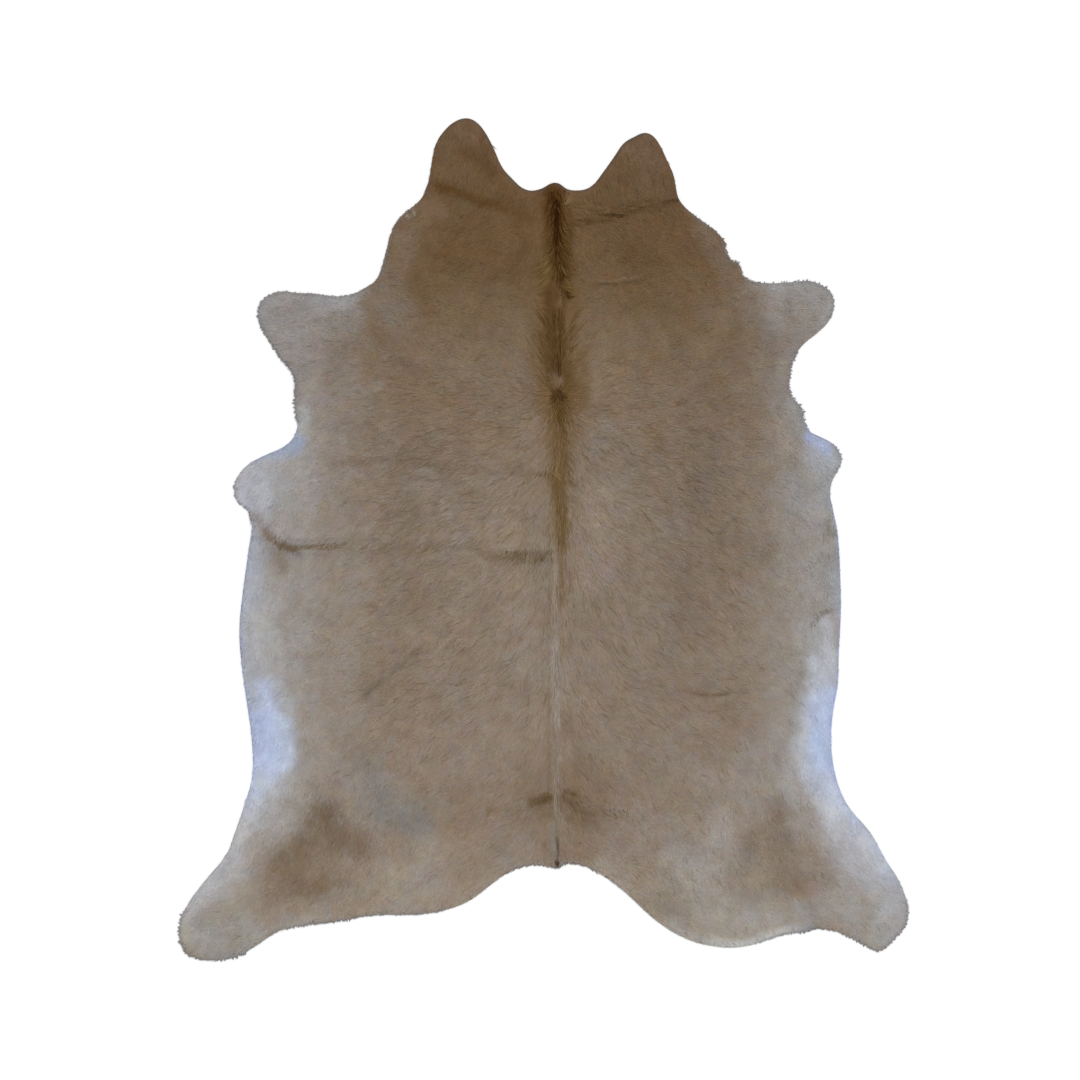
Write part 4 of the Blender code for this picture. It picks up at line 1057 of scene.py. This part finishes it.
def grow_locks(x, y, draw):
    """Gives the locks that start at these places: four points each, and their tones."""
    keep = read(inset_field, x, y) > LOCK_INSET
    x, y = x[keep], y[keep]
    step_x, step_y = lie_of_hair(x, y)
    swing = draw.normal(0, LOCK_SWING, len(x))
    step_x, step_y = (
        step_x * np.cos(swing) - step_y * np.sin(swing),
        step_x * np.sin(swing) + step_y * np.cos(swing),
    )
    length = draw.uniform(*LOCK_LENGTH, len(x))
    out = np.abs(beside_spine(x, y))
    length = length * (1 + SPINE_GAIN * (1 - smooth(*SPINE_GAIN_DISTANCES, out)))
    width = draw.uniform(*LOCK_WIDTH, len(x))
    lively = np.interp(y, *LIVELY) * (0.6 + 0.4 * on_the_back(x, y))
    lively = lively * (1 - RIGHT_CALM * smooth(*RIGHT_CALM_FROM, x))
    lift = draw.uniform(*LOCK_LIFT, len(x)) * (0.3 + 0.7 * lively)
    bend = draw.normal(0, LOCK_BEND, len(x))
    inset = read(inset_field, x, y)
    past = -read(inset_field, x + length * step_x, y + length * step_y)
    allowed = overhang(x, y) * draw.uniform(0.3, 1, len(x))
    too_far = past > allowed
    length = np.where(too_far, length * (inset + allowed) / (inset + past + 1e-9), length)
    length = np.maximum(length, LOCK_SHORTEST)
    width, bend = np.minimum(width, WIDEST * length), bend * length
    side_x, side_y = -step_y, step_x

    def spot(along, across, height, bent):
        px = x + along * length * step_x + (across * width + bent * bend) * side_x
        py = y + along * length * step_y + (across * width + bent * bend) * side_y
        beyond = smooth(0, SINK_REACH, -read(inset_field, px, py))
        return np.column_stack([px, py, skin_top(px, py) + height - SINK * beyond])

    left, right = (spot(WIDE_POINT, half, 0.0001, 0.4) for half in (0.5, -0.5))
    corners = np.stack([spot(0, 0, -0.0002, 0), left, right, spot(1, 0, lift, 1)], axis=1)
    streaks = drawn_streaks(x, y, step_x, step_y, *FINE_STREAKS)
    mid_x, mid_y = x + 0.4 * length * step_x, y + 0.4 * length * step_y
    colour = coat_colour_and_shading(mid_x, mid_y, streaks)
    tufts = drawn_streaks(x, y, step_x, step_y, *TUFT_STREAKS)
    single = draw.normal(0, LOCK_UNEVENNESS, len(x))
    shade = 1 + (0.35 + 0.65 * lively) * (0.07 * streaks + 0.05 * tufts + single)
    warmth = 0.02 * drawn_streaks(x, y, step_x, step_y, *WARM_STREAKS)
    colour = varied(colour, shade, SHADE_DEPTHS)
    # Painted shade for the shadows that flatter locks no longer cast.
    colour = colour * (CALM_SHADE + (1 - CALM_SHADE) * lively)[:, None]
    colour = colour * np.column_stack([1 + warmth, np.ones(len(x)), 1 - warmth])
    tones = (colour[:, None, :] * np.array(LOCK_ENDS)[None, :, None]).reshape(-1, 3)
    return corners, tones.clip(*REFLECTS)


# How far apart the strands' fibres are on their own map, so that no two look alike.
FIBRE_STEPS = (3.7, 5.3)
LOCK_FACES = np.array([[0, 3, 1], [0, 2, 3]])
LOCK_MAP = np.array([(0.5, 0.1), (0.1, 0.5), (0.9, 0.5), (0.5, 0.9)])


def combed_order(corners):
    """Orders locks by place, so that neighbours on the hide stay neighbours on the map."""
    side = math.ceil(math.sqrt(len(corners)))
    order = np.argsort(corners[:, 0, 1], kind="stable")
    rows = [order[k : k + side] for k in range(0, len(order), side)]
    return np.concatenate([row[np.argsort(corners[row, 0, 0], kind="stable")] for row in rows])


def hair_piece(name, corners, tones, faces, spots, material):
    """Joins like strands into one piece, with a place of its own on the map for each."""
    each = corners.shape[1]
    order = combed_order(corners)
    corners = corners[order]
    tones = tones.reshape(-1, each, 3)[order].reshape(-1, 3)
    number = np.arange(len(corners))
    triangles = (number[:, None, None] * each + faces[None]).reshape(-1, 3)
    piece = new_mesh(name, corners.reshape(-1, 3), triangles)
    colour_points(piece, tones)
    side = math.ceil(math.sqrt(len(corners)))
    cell = np.column_stack([number % side, number // side])[:, None, None, :]
    map_corners(piece, "OFBake", (cell + spots[faces][None]) / side)
    map_corners(piece, "fibres", spots[faces][None] + cell * FIBRE_STEPS)
    piece.data.materials.append(material)
    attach(piece, "root")
    return piece


def coat_material(name, roughness, fibre_contrast):
    """Hair: the colour of each lock, with fine fibres along it in colour, gloss and relief."""
    shades = (0.3, 0.7, 1 - fibre_contrast, 1 + fibre_contrast)
    spread = (roughness - 0.12, roughness + 0.12)
    material, depth, rough, bump = toned_material(name, 0.03, shades, spread, (0.6, 0.0003))
    along = add_node(material, "UVMap")
    along.uv_map = "fibres"
    stretch = add_node(material, "Mapping", Scale=(7, 0.8, 1))
    fibre = add_node(material, "TexNoise", Scale=1, Detail=3)
    join_nodes(
        material,
        (along, "UV", stretch, "Vector"),
        (stretch, "Vector", fibre, "Vector"),
        (fibre, "Fac", depth, "Value"),
        (fibre, "Fac", rough, "Value"),
        (fibre, "Fac", bump, "Height"),
    )
    return material


short_coat = coat_material("short_coat", 0.62, 0.08)
root_x, root_y = scattered(LOCKS_PER_SQUARE_METRE, 31)
for number, name in enumerate(BAND_NAMES):
    ragged_y = root_y + 0.03 * clouds(root_x, root_y, 0.08, 33)
    here = (ragged_y > BAND_EDGES[number]) & (ragged_y <= BAND_EDGES[number + 1])
    corners, tones = grow_locks(root_x[here], root_y[here], np.random.default_rng(40 + number))
    hair_piece(name, corners, tones, LOCK_FACES, LOCK_MAP, short_coat)


# ---- The mane and the hair at the folds -----------------------------------------------
# Longer hair, most of it 25 to 60 mm, stands along the spine of the neck and curls where two
# lies of hair meet on the crest. Single strands bridge the sharp folds of the skin, and
# cross them.

STRAND_STATIONS = 7
STRAND_ENDS = (0.8, 1.15)
STRAND_ROOT_HEIGHT = 0.0004
STRAND_SINK = 0.0016
# Strands: name, how many, line of their roots, spread about it, heading in degrees from
# straight back (above zero to the right), its scatter, curl, shortest and longest length,
# width, height, and the lightest and darkest colour. Lengths and places are in millimetres.
MANE = (
    ("crown tuft", 60, "5,902 29,910 53,899",
     4, 176, 18, 10, 6, 12, 1.4, 1.4, (96, 70, 40), (62, 38, 12)),
    ("core", 190, "24,907 29,839 34,787", 6.5, 2, 10, 12, 26, 42, 1.3, 2, (70, 44, 14), (26, 8, 0)),
    ("core low", 120, "34,782 40,735 50,672",
     6, 4, 12, 14, 26, 40, 1.3, 2.2, (92, 66, 32), (44, 22, 0)),
    ("left side", 130, "19,897 21,834 26,756 34,682",
     5, -13, 10, -20, 22, 40, 1.1, 2.2, (100, 74, 38), (54, 30, 4)),
    ("right side", 95, "40,892 45,821 50,756 60,698",
     5, 13, 10, 22, 22, 40, 1.1, 2.2, (98, 72, 36), (52, 28, 4)),
    ("left gold", 26, "16,818 19,766 26,698",
     7, -26, 16, -44, 28, 48, 0.9, 3, (126, 100, 60), (84, 58, 24)),
    ("right gold", 26, "45,829 50,771 60,698",
     6, 22, 16, 44, 26, 46, 0.9, 3, (126, 100, 60), (84, 58, 24)),
    ("left back curl", 14, "11,847 16,769 26,690",
     6, -60, 14, 90, 26, 40, 1, 3, (112, 86, 46), (70, 44, 14)),
    ("right back curl", 18, "47,839 55,769 63,698",
     6, 60, 14, -90, 26, 40, 1, 3, (112, 86, 46), (70, 44, 14)),
    ("left sweep", 80, "11,745 13,714 21,677",
     6, -38, 9, -34, 36, 60, 1, 2.6, (138, 112, 72), (88, 64, 32)),
    ("crest curl", 14, "45,724 53,698 60,677",
     2, 12, 10, 60, 26, 40, 1, 3, (128, 102, 64), (90, 64, 30)),
    ("crest curl low", 20, "37,677 47,661",
     2.8, 50, 12, 52, 30, 52, 0.9, 2.6, (124, 100, 60), (88, 62, 28)),
    ("crest blob", 30, "50,651 66,633", 3.4, 34, 26, 30, 12, 22, 1.1, 2, (84, 58, 26), (48, 26, 2)),
    ("core wave", 50, "32,771 32,735 42,708 42,677",
     1.6, 10, 12, 24, 16, 26, 1.2, 2.4, (70, 46, 16), (36, 16, 0)),
    ("crest lines", 110, "34,426 34,507 34,578",
     9, 178, 5, 0, 30, 55, 1, 1.5, (106, 80, 46), (54, 32, 8)),
    ("crest left fan", 90, "16,394 8,494 0,578",
     9, -156, 10, 26, 28, 46, 1, 1.7, (118, 92, 58), (76, 52, 22)),
    ("crest right fan", 90, "53,394 63,494 74,578",
     9, 156, 10, -26, 28, 46, 1, 1.7, (118, 92, 58), (76, 52, 22)),
    ("whorl", 90, "32,384 42,374", 4, 0, 80, 0, 14, 30, 1.1, 1.8, (92, 66, 34), (34, 20, 4)),
    ("whorl low", 60, "34,368 42,358", 6, 0, 50, 0, 24, 40, 1, 1.8, (110, 84, 50), (56, 36, 12)),
    ("upper back top", 90, "37,363 40,316",
     7, 2, 8, 0, 26, 44, 1.1, 1.5, (110, 84, 50), (66, 44, 14)),
    ("upper back lines", 150, "42,300 42,232 42,128",
     8, 2, 7, 0, 30, 50, 1, 1.5, (132, 108, 78), (88, 64, 34)),
    ("upper back left", 110, "26,358 26,258 29,154",
     8, -22, 9, -22, 25, 42, 1, 1.7, (142, 120, 92), (100, 76, 46)),
    ("upper back right", 110, "58,358 60,258 63,154",
     8, 22, 9, 22, 25, 42, 1, 1.7, (142, 120, 92), (100, 76, 46)),
    ("back lines low", 90, "45,128 47,49 47,-16",
     6, 2, 7, 0, 28, 45, 1, 1.6, (136, 114, 86), (90, 68, 40)),
    ("back nick curls", 16, "19,183 32,180 42,175",
     2, 28, 8, 26, 30, 46, 1.1, 2.8, (150, 128, 90), (106, 84, 48)),
    ("ridge lines", 150, "29,-55 29,-265 32,-474 34,-736",
     4.5, 0, 5, 0, 28, 50, 1.1, 1.8, (160, 148, 134), (124, 108, 92)),
    ("tail end", 12, "32,-845 40,-845", 2, 6, 10, 0, 10, 18, 1.4, 1, (74, 60, 46), (48, 38, 30)),
)
# The strands at the folds are darker in the folds' depths and brighter on their lips, as painted
# shade and painted highlights over the hair's own colour.
FOLD_HAIR = (
    ("neck fold light", 40, "47,878 81,868 121,858",
     5, 84, 12, 12, 30, 52, 0.9, 2.2, (128, 102, 66), (84, 60, 32)),
    ("neck fold bright", 12, "53,871 68,884",
     2, 135, 14, 34, 16, 26, 1.2, 3, (146, 120, 84), (110, 86, 54)),
    ("neck fold long", 44, "115,858 173,852 230,863",
     4, 94, 7, 6, 28, 48, 0.9, 1.8, (124, 98, 66), (84, 60, 32)),
    ("neck fold dark", 14, "147,850 178,847 199,842",
     3, 92, 7, 0, 14, 28, 1, 1.6, (74, 52, 26), (44, 28, 8)),
    ("neck fold low", 36, "58,829 121,829 157,837",
     4, 86, 8, 8, 26, 44, 0.9, 1.8, (116, 90, 58), (70, 48, 24)),
    ("neck fold end", 16, "230,863 272,873 309,881",
     2, 102, 6, 0, 20, 32, 1, 1.6, (116, 92, 66), (76, 54, 30)),
    ("hump ripple", 24, "126,659 162,669 204,669 246,677",
     3, 94, 9, 0, 16, 30, 0.9, 1.8, (136, 114, 86), (82, 60, 36)),
    ("flank line", 100, "-649,-19 -607,-16 -560,-16 -518,-11",
     3, -50, 10, 0, 12, 22, 1, 1.3, (142, 126, 104), (88, 70, 46)),
    ("flank hollow", 36, "-717,10 -690,-6 -659,-16",
     5, -36, 12, 0, 12, 20, 1.1, 1.2, (124, 108, 86), (80, 60, 34)),
    ("flank line far", 60, "-507,-11 -376,-16 -219,-14",
     6, -58, 9, 0, 14, 24, 1, 1.2, (132, 116, 94), (98, 80, 56)),
    ("back hollow", 80, "-112,-32 -63,-29 -10,-29 24,-29",
     4, -8, 12, 0, 12, 22, 0.8, 1.8, (134, 117, 88), (88, 70, 38)),
    ("back hollow low", 40, "-104,-50 -49,-53 16,-53",
     2, -10, 12, 0, 8, 14, 0.8, 1.6, (126, 109, 82), (84, 66, 34)),
    ("back nick", 20, "-15,177 5,180 32,177",
     2, -20, 10, 0, 10, 16, 1, 1.3, (126, 106, 76), (78, 58, 26)),
    ("rump hollow left", 30, "-36,-683 -10,-675 16,-662",
     4, -10, 16, 0, 12, 22, 1, 1.5, (118, 98, 70), (76, 56, 26)),
    ("rump lines right", 60, "63,-683 94,-696 147,-707 225,-717",
     6, 30, 16, 0, 12, 22, 0.9, 1.3, (130, 113, 92), (82, 62, 36)),
    ("flank marks right", 24, "748,-178 722,-191 701,-228",
     3, 20, 16, 0, 10, 18, 1, 1.2, (140, 136, 130), (104, 98, 90)),
)


def along_route(route, shares):
    """Gives the places at these shares of the way along a route."""
    points = np.array(route_points(route))
    run = np.concatenate([[0], np.cumsum(np.hypot(*np.diff(points, axis=0).T))])
    return [np.interp(shares * run[-1], run, points[:, k]) for k in (0, 1)]


def ribbon(x, y, heading, curl, length, width, lift, stations):
    """Lays tapered ribbons from these roots: two points at each station, one at the tip."""
    spots = []
    step = length / (stations - 1)
    for k in range(stations):
        share = k / (stations - 1)
        turn = heading + curl * share
        side_x, side_y = np.cos(turn), np.sin(turn)
        half = 0.5 * width * (1 - share**2) * min(1, 0.45 + 2 * share)
        rise = lift * math.sin(math.pi * (0.15 + 0.8 * share))
        edges = (-1, 1) if k < stations - 1 else (0,)
        for edge in edges:
            px, py = x + edge * half * side_x, y + edge * half * side_y
            drop = STRAND_SINK * smooth(0, SINK_REACH, -read(inset_field, px, py))
            height = skin_top(px, py) + STRAND_ROOT_HEIGHT + rise - drop
            spots.append(np.column_stack([px, py, height]))
        x, y = x + step * np.sin(turn), y - step * np.cos(turn)
    return np.stack(spots, axis=1)


def ribbon_faces(stations):
    """Gives the triangles of one ribbon, and the place of its points on the map."""
    faces = []
    for k in range(stations - 2):
        faces += [[2 * k, 2 * k + 2, 2 * k + 1], [2 * k + 1, 2 * k + 2, 2 * k + 3]]
    last = 2 * stations - 2
    faces.append([last - 2, last, last - 1])
    spots = [
        (0.1 + 0.8 * side, 0.08 + 0.84 * k / (stations - 1))
        for k in range(stations - 1)
        for side in (0, 1)
    ]
    return np.array(faces), np.array(spots + [(0.5, 0.92)])


def strands(rows, seed):
    """Grows every strand of a table, with its colours from root to tip."""
    draw = np.random.default_rng(seed)
    made, tones = [], []
    for name, count, route, spread, heading, scatter, curl, *sizes, light, dark in rows:
        spread, short, long, width, lift = [v / 1000 for v in (spread, *sizes)]
        x, y = along_route(route, draw.uniform(0, 1, count))
        x, y = x + draw.normal(0, spread, count), y + draw.normal(0, spread, count)
        turn = np.radians(heading + draw.normal(0, scatter, count))
        bend = np.radians(curl * draw.uniform(0.4, 1.4, count))
        size = draw.uniform(short, long, count)
        thick = width * draw.uniform(0.6, 1.3, count)
        made.append(ribbon(x, y, turn, bend, size, thick, lift, STRAND_STATIONS))
        share = draw.uniform(0, 1, count)[:, None, None]
        ends = np.linspace(*STRAND_ENDS, 2 * STRAND_STATIONS - 1)[None, :, None]
        tones.append((linear(*light) * share + linear(*dark) * (1 - share)) * ends)
    return np.concatenate(made), (np.concatenate(tones) * HAIR_GAIN).reshape(-1, 3)


strand_faces, strand_map = ribbon_faces(STRAND_STATIONS)
long_hair = coat_material("long_hair", 0.5, 0.1)
mane = hair_piece("mane", *strands(MANE, 51), strand_faces, strand_map, long_hair)
fold_hair = hair_piece("fold_hair", *strands(FOLD_HAIR, 52), strand_faces, strand_map, long_hair)


# ---- The guard hairs ------------------------------------------------------------------
# Single longer hairs, 20 to 55 mm, lie over the short coat and show as fine pale and dark
# lines. They are thickest on the back and thin out over the belly, the legs and the neck.

GUARD_PER_SQUARE_METRE = 9500
GUARD_STATIONS = 4
GUARD_LENGTH = (0.020, 0.055)
GUARD_WIDTH = (0.0006, 0.0011)
GUARD_LIFT = 0.0019
GUARD_SWING = 0.26
GUARD_BEND = 0.22
GUARD_ENDS = (0.94, 1.06)
GUARD_INSETS = (0.012, 0.003)
PALE_SHARE = 0.66
PALE_SHADE = (1.15, 1.45)
DARK_SHADE = (0.55, 0.85)


def grow_guard_hairs(draw):
    """Lays single hairs along the lie of the coat, each paler or darker than the coat."""
    x, y = scattered(GUARD_PER_SQUARE_METRE, 71)
    back = on_the_back(x, y)
    share = np.interp(y, *LIVELY) * (0.3 + 0.7 * back)
    keep = (read(inset_field, x, y) > GUARD_INSETS[0]) & (draw.uniform(0, 1, len(x)) < share)
    x, y, back = x[keep], y[keep], back[keep]
    step_x, step_y = lie_of_hair(x, y)
    heading = np.arctan2(step_x, -step_y) + draw.normal(0, GUARD_SWING, len(x))
    length = draw.uniform(*GUARD_LENGTH, len(x)) * (0.55 + 0.45 * back)
    tip_x, tip_y = x + length * np.sin(heading), y - length * np.cos(heading)
    keep = read(inset_field, tip_x, tip_y) > GUARD_INSETS[1]
    x, y, heading, length = x[keep], y[keep], heading[keep], length[keep]
    bend = draw.normal(0, GUARD_BEND, len(x))
    width = draw.uniform(*GUARD_WIDTH, len(x))
    corners = ribbon(x, y, heading, bend, length, width, GUARD_LIFT, GUARD_STATIONS)
    middle = corners[:, 2:4].mean(axis=1)
    colour = coat_colour_and_shading(middle[:, 0], middle[:, 1], np.zeros(len(x)))
    pale = draw.uniform(0, 1, len(x)) < PALE_SHARE
    tint = np.where(pale, draw.uniform(*PALE_SHADE, len(x)), draw.uniform(*DARK_SHADE, len(x)))
    ends = np.linspace(*GUARD_ENDS, 2 * GUARD_STATIONS - 1)[None, :, None]
    tones = varied(colour, tint, SHADE_DEPTHS)
    return corners, (tones[:, None] * ends).reshape(-1, 3).clip(*REFLECTS)


guard_faces, guard_map = ribbon_faces(GUARD_STATIONS)
corners, tones = grow_guard_hairs(np.random.default_rng(72))
guard_hair = hair_piece("guard_hair", corners, tones, guard_faces, guard_map, long_hair)


# ---- The loose hair at the cut edge ---------------------------------------------------
# The knife leaves most of the edge clean, but on the legs, the rump and the belly lobes
# the hair stands past it in small tufts, most of them 2 to 10 mm long, that droop over
# the cut. Their tips fade towards a dark slate grey, which is painted shade.

TUFT_SPACING = (4, 14)
HAIRS_PER_TUFT = 18
FRINGE_STATIONS = 4
FRINGE_WIDTH = (0.0009, 0.0019)
FRINGE_LIFT = 0.0007
FRINGE_BEND = 0.12
FRINGE_SCATTER = 0.0007
FRINGE_LIE = 0.6
LEAST_OUTWARD = 0.35
FRINGE_ROOTS = (0.003, 0.008)
LEAST_FRINGE = 0.0016
TIP_SHADE = (0.6, 1.45)


def grow_fringe(draw):
    """Grows tufts out over the loose stretches of the cut edge, each drawn to one point."""
    centre = np.cumsum(draw.integers(*TUFT_SPACING, len(fine_rim) // TUFT_SPACING[0]))
    centre = centre[centre < len(fine_rim)]
    reach = overhang(*fine_rim[centre].T)
    centre, reach = centre[reach > LEAST_FRINGE], reach[reach > LEAST_FRINGE]
    past = reach * (0.25 + 1.15 * draw.uniform(0, 1, len(centre)))
    centre, past = np.repeat(centre, HAIRS_PER_TUFT), np.repeat(past, HAIRS_PER_TUFT)
    root = (centre + draw.integers(-4, 5, len(centre))) % len(fine_rim)
    x, y = fine_rim[root].T
    tip_x, tip_y = fine_rim[centre].T
    tiny = 0.003
    out_x = read(inset_field, x - tiny, y) - read(inset_field, x + tiny, y)
    out_y = read(inset_field, x, y - tiny) - read(inset_field, x, y + tiny)
    size = np.hypot(out_x, out_y) + 1e-9
    out_x, out_y = out_x / size, out_y / size
    lie_x, lie_y = lie_of_hair(x, y)
    head_x, head_y = out_x + FRINGE_LIE * lie_x, out_y + FRINGE_LIE * lie_y
    size = np.maximum(head_x * out_x + head_y * out_y, LEAST_OUTWARD)
    tip_x = tip_x + past * head_x / size + draw.normal(0, FRINGE_SCATTER, len(x))
    tip_y = tip_y + past * head_y / size + draw.normal(0, FRINGE_SCATTER, len(x))
    back = draw.uniform(*FRINGE_ROOTS, len(x))
    x, y = x - back * out_x, y - back * out_y
    heading = np.arctan2(tip_x - x, y - tip_y)
    length = np.hypot(tip_x - x, tip_y - y) * draw.uniform(0.75, 1.05, len(x))
    width = draw.uniform(*FRINGE_WIDTH, len(x))
    bend = draw.normal(0, FRINGE_BEND, len(x))
    corners = ribbon(x, y, heading, bend, length, width, FRINGE_LIFT, FRINGE_STATIONS)
    base = coat_colour_and_shading(x, y, np.zeros(len(x)))
    # Painted shade: each tip fades from the coat's colour towards the dark slate of the edge's
    # shadow, lighter or darker at random.
    tip = 0.35 * base + 0.65 * HAIR_GAIN * linear(*EDGE_SHADOW_TONE)
    tip = tip * draw.uniform(*TIP_SHADE, len(x))[:, None]
    shares = smooth(0.05, 0.7, np.linspace(0, 1, 2 * FRINGE_STATIONS - 1))[None, :, None]
    return corners, (base[:, None] * (1 - shares) + tip[:, None] * shares).reshape(-1, 3)


fringe_faces, fringe_map = ribbon_faces(FRINGE_STATIONS)
corners, tones = grow_fringe(np.random.default_rng(62))
fringe = hair_piece("edge_fringe", corners, tones, fringe_faces, fringe_map, long_hair)


# ---- Floor, light and camera ----------------------------------------------------------
# The hide lies on a plain white studio floor, under one broad soft lamp from beyond the
# neck and an even white room. The camera looks straight down from high above.

FLOOR_SIZE = 16
FLOOR_DROP = 0.0004
FLOOR_COLOUR = (0.86, 0.86, 0.86, 1)
ROOM_COLOUR = (0.98, 0.99, 1, 1)
ROOM_LIGHT = 0.72
LAMP_STRENGTH = 2.0
LAMP_SPREAD = 28
LAMP_FROM = (0.45, 0.85, 1.15)
VIEW_WIDTH = 2.8253
VIEW_CENTRE = (-0.0102, -0.0031)
LENS = 85
SENSOR = 36

bpy.ops.object.select_all(action="DESELECT")
bpy.ops.mesh.primitive_plane_add(size=FLOOR_SIZE, location=(0, 0, -FLOOR_DROP))
floor = bpy.context.object
floor.name = "floor"
bpy.ops.object.transform_apply(location=True, rotation=True, scale=True)
paint = bpy.data.materials.new("studio_floor")
paint.use_nodes = True
surface = paint.node_tree.nodes["Principled BSDF"]
surface.inputs["Base Color"].default_value = FLOOR_COLOUR
surface.inputs["Roughness"].default_value = 0.9
surface.inputs["Specular IOR Level"].default_value = 0.1
floor.data.materials.append(paint)

room = bpy.data.worlds.new("studio")
room.use_nodes = True
room.node_tree.nodes["Background"].inputs["Color"].default_value = ROOM_COLOUR
room.node_tree.nodes["Background"].inputs["Strength"].default_value = ROOM_LIGHT
bpy.context.scene.world = room

bpy.ops.object.light_add(type="SUN", location=[4 * v for v in LAMP_FROM])
lamp = bpy.context.object
lamp.name = "softbox"
lamp.data.energy = LAMP_STRENGTH
lamp.data.angle = math.radians(LAMP_SPREAD)
lamp.rotation_euler = lamp.location.to_track_quat("Z", "Y").to_euler()

bpy.ops.object.camera_add(location=(*VIEW_CENTRE, VIEW_WIDTH * LENS / SENSOR))
camera = bpy.context.object
camera.data.lens = LENS
camera.data.sensor_width = SENSOR
camera.data.clip_end = 100
bpy.context.scene.camera = camera
bpy.context.scene.view_settings.view_transform = "Standard"
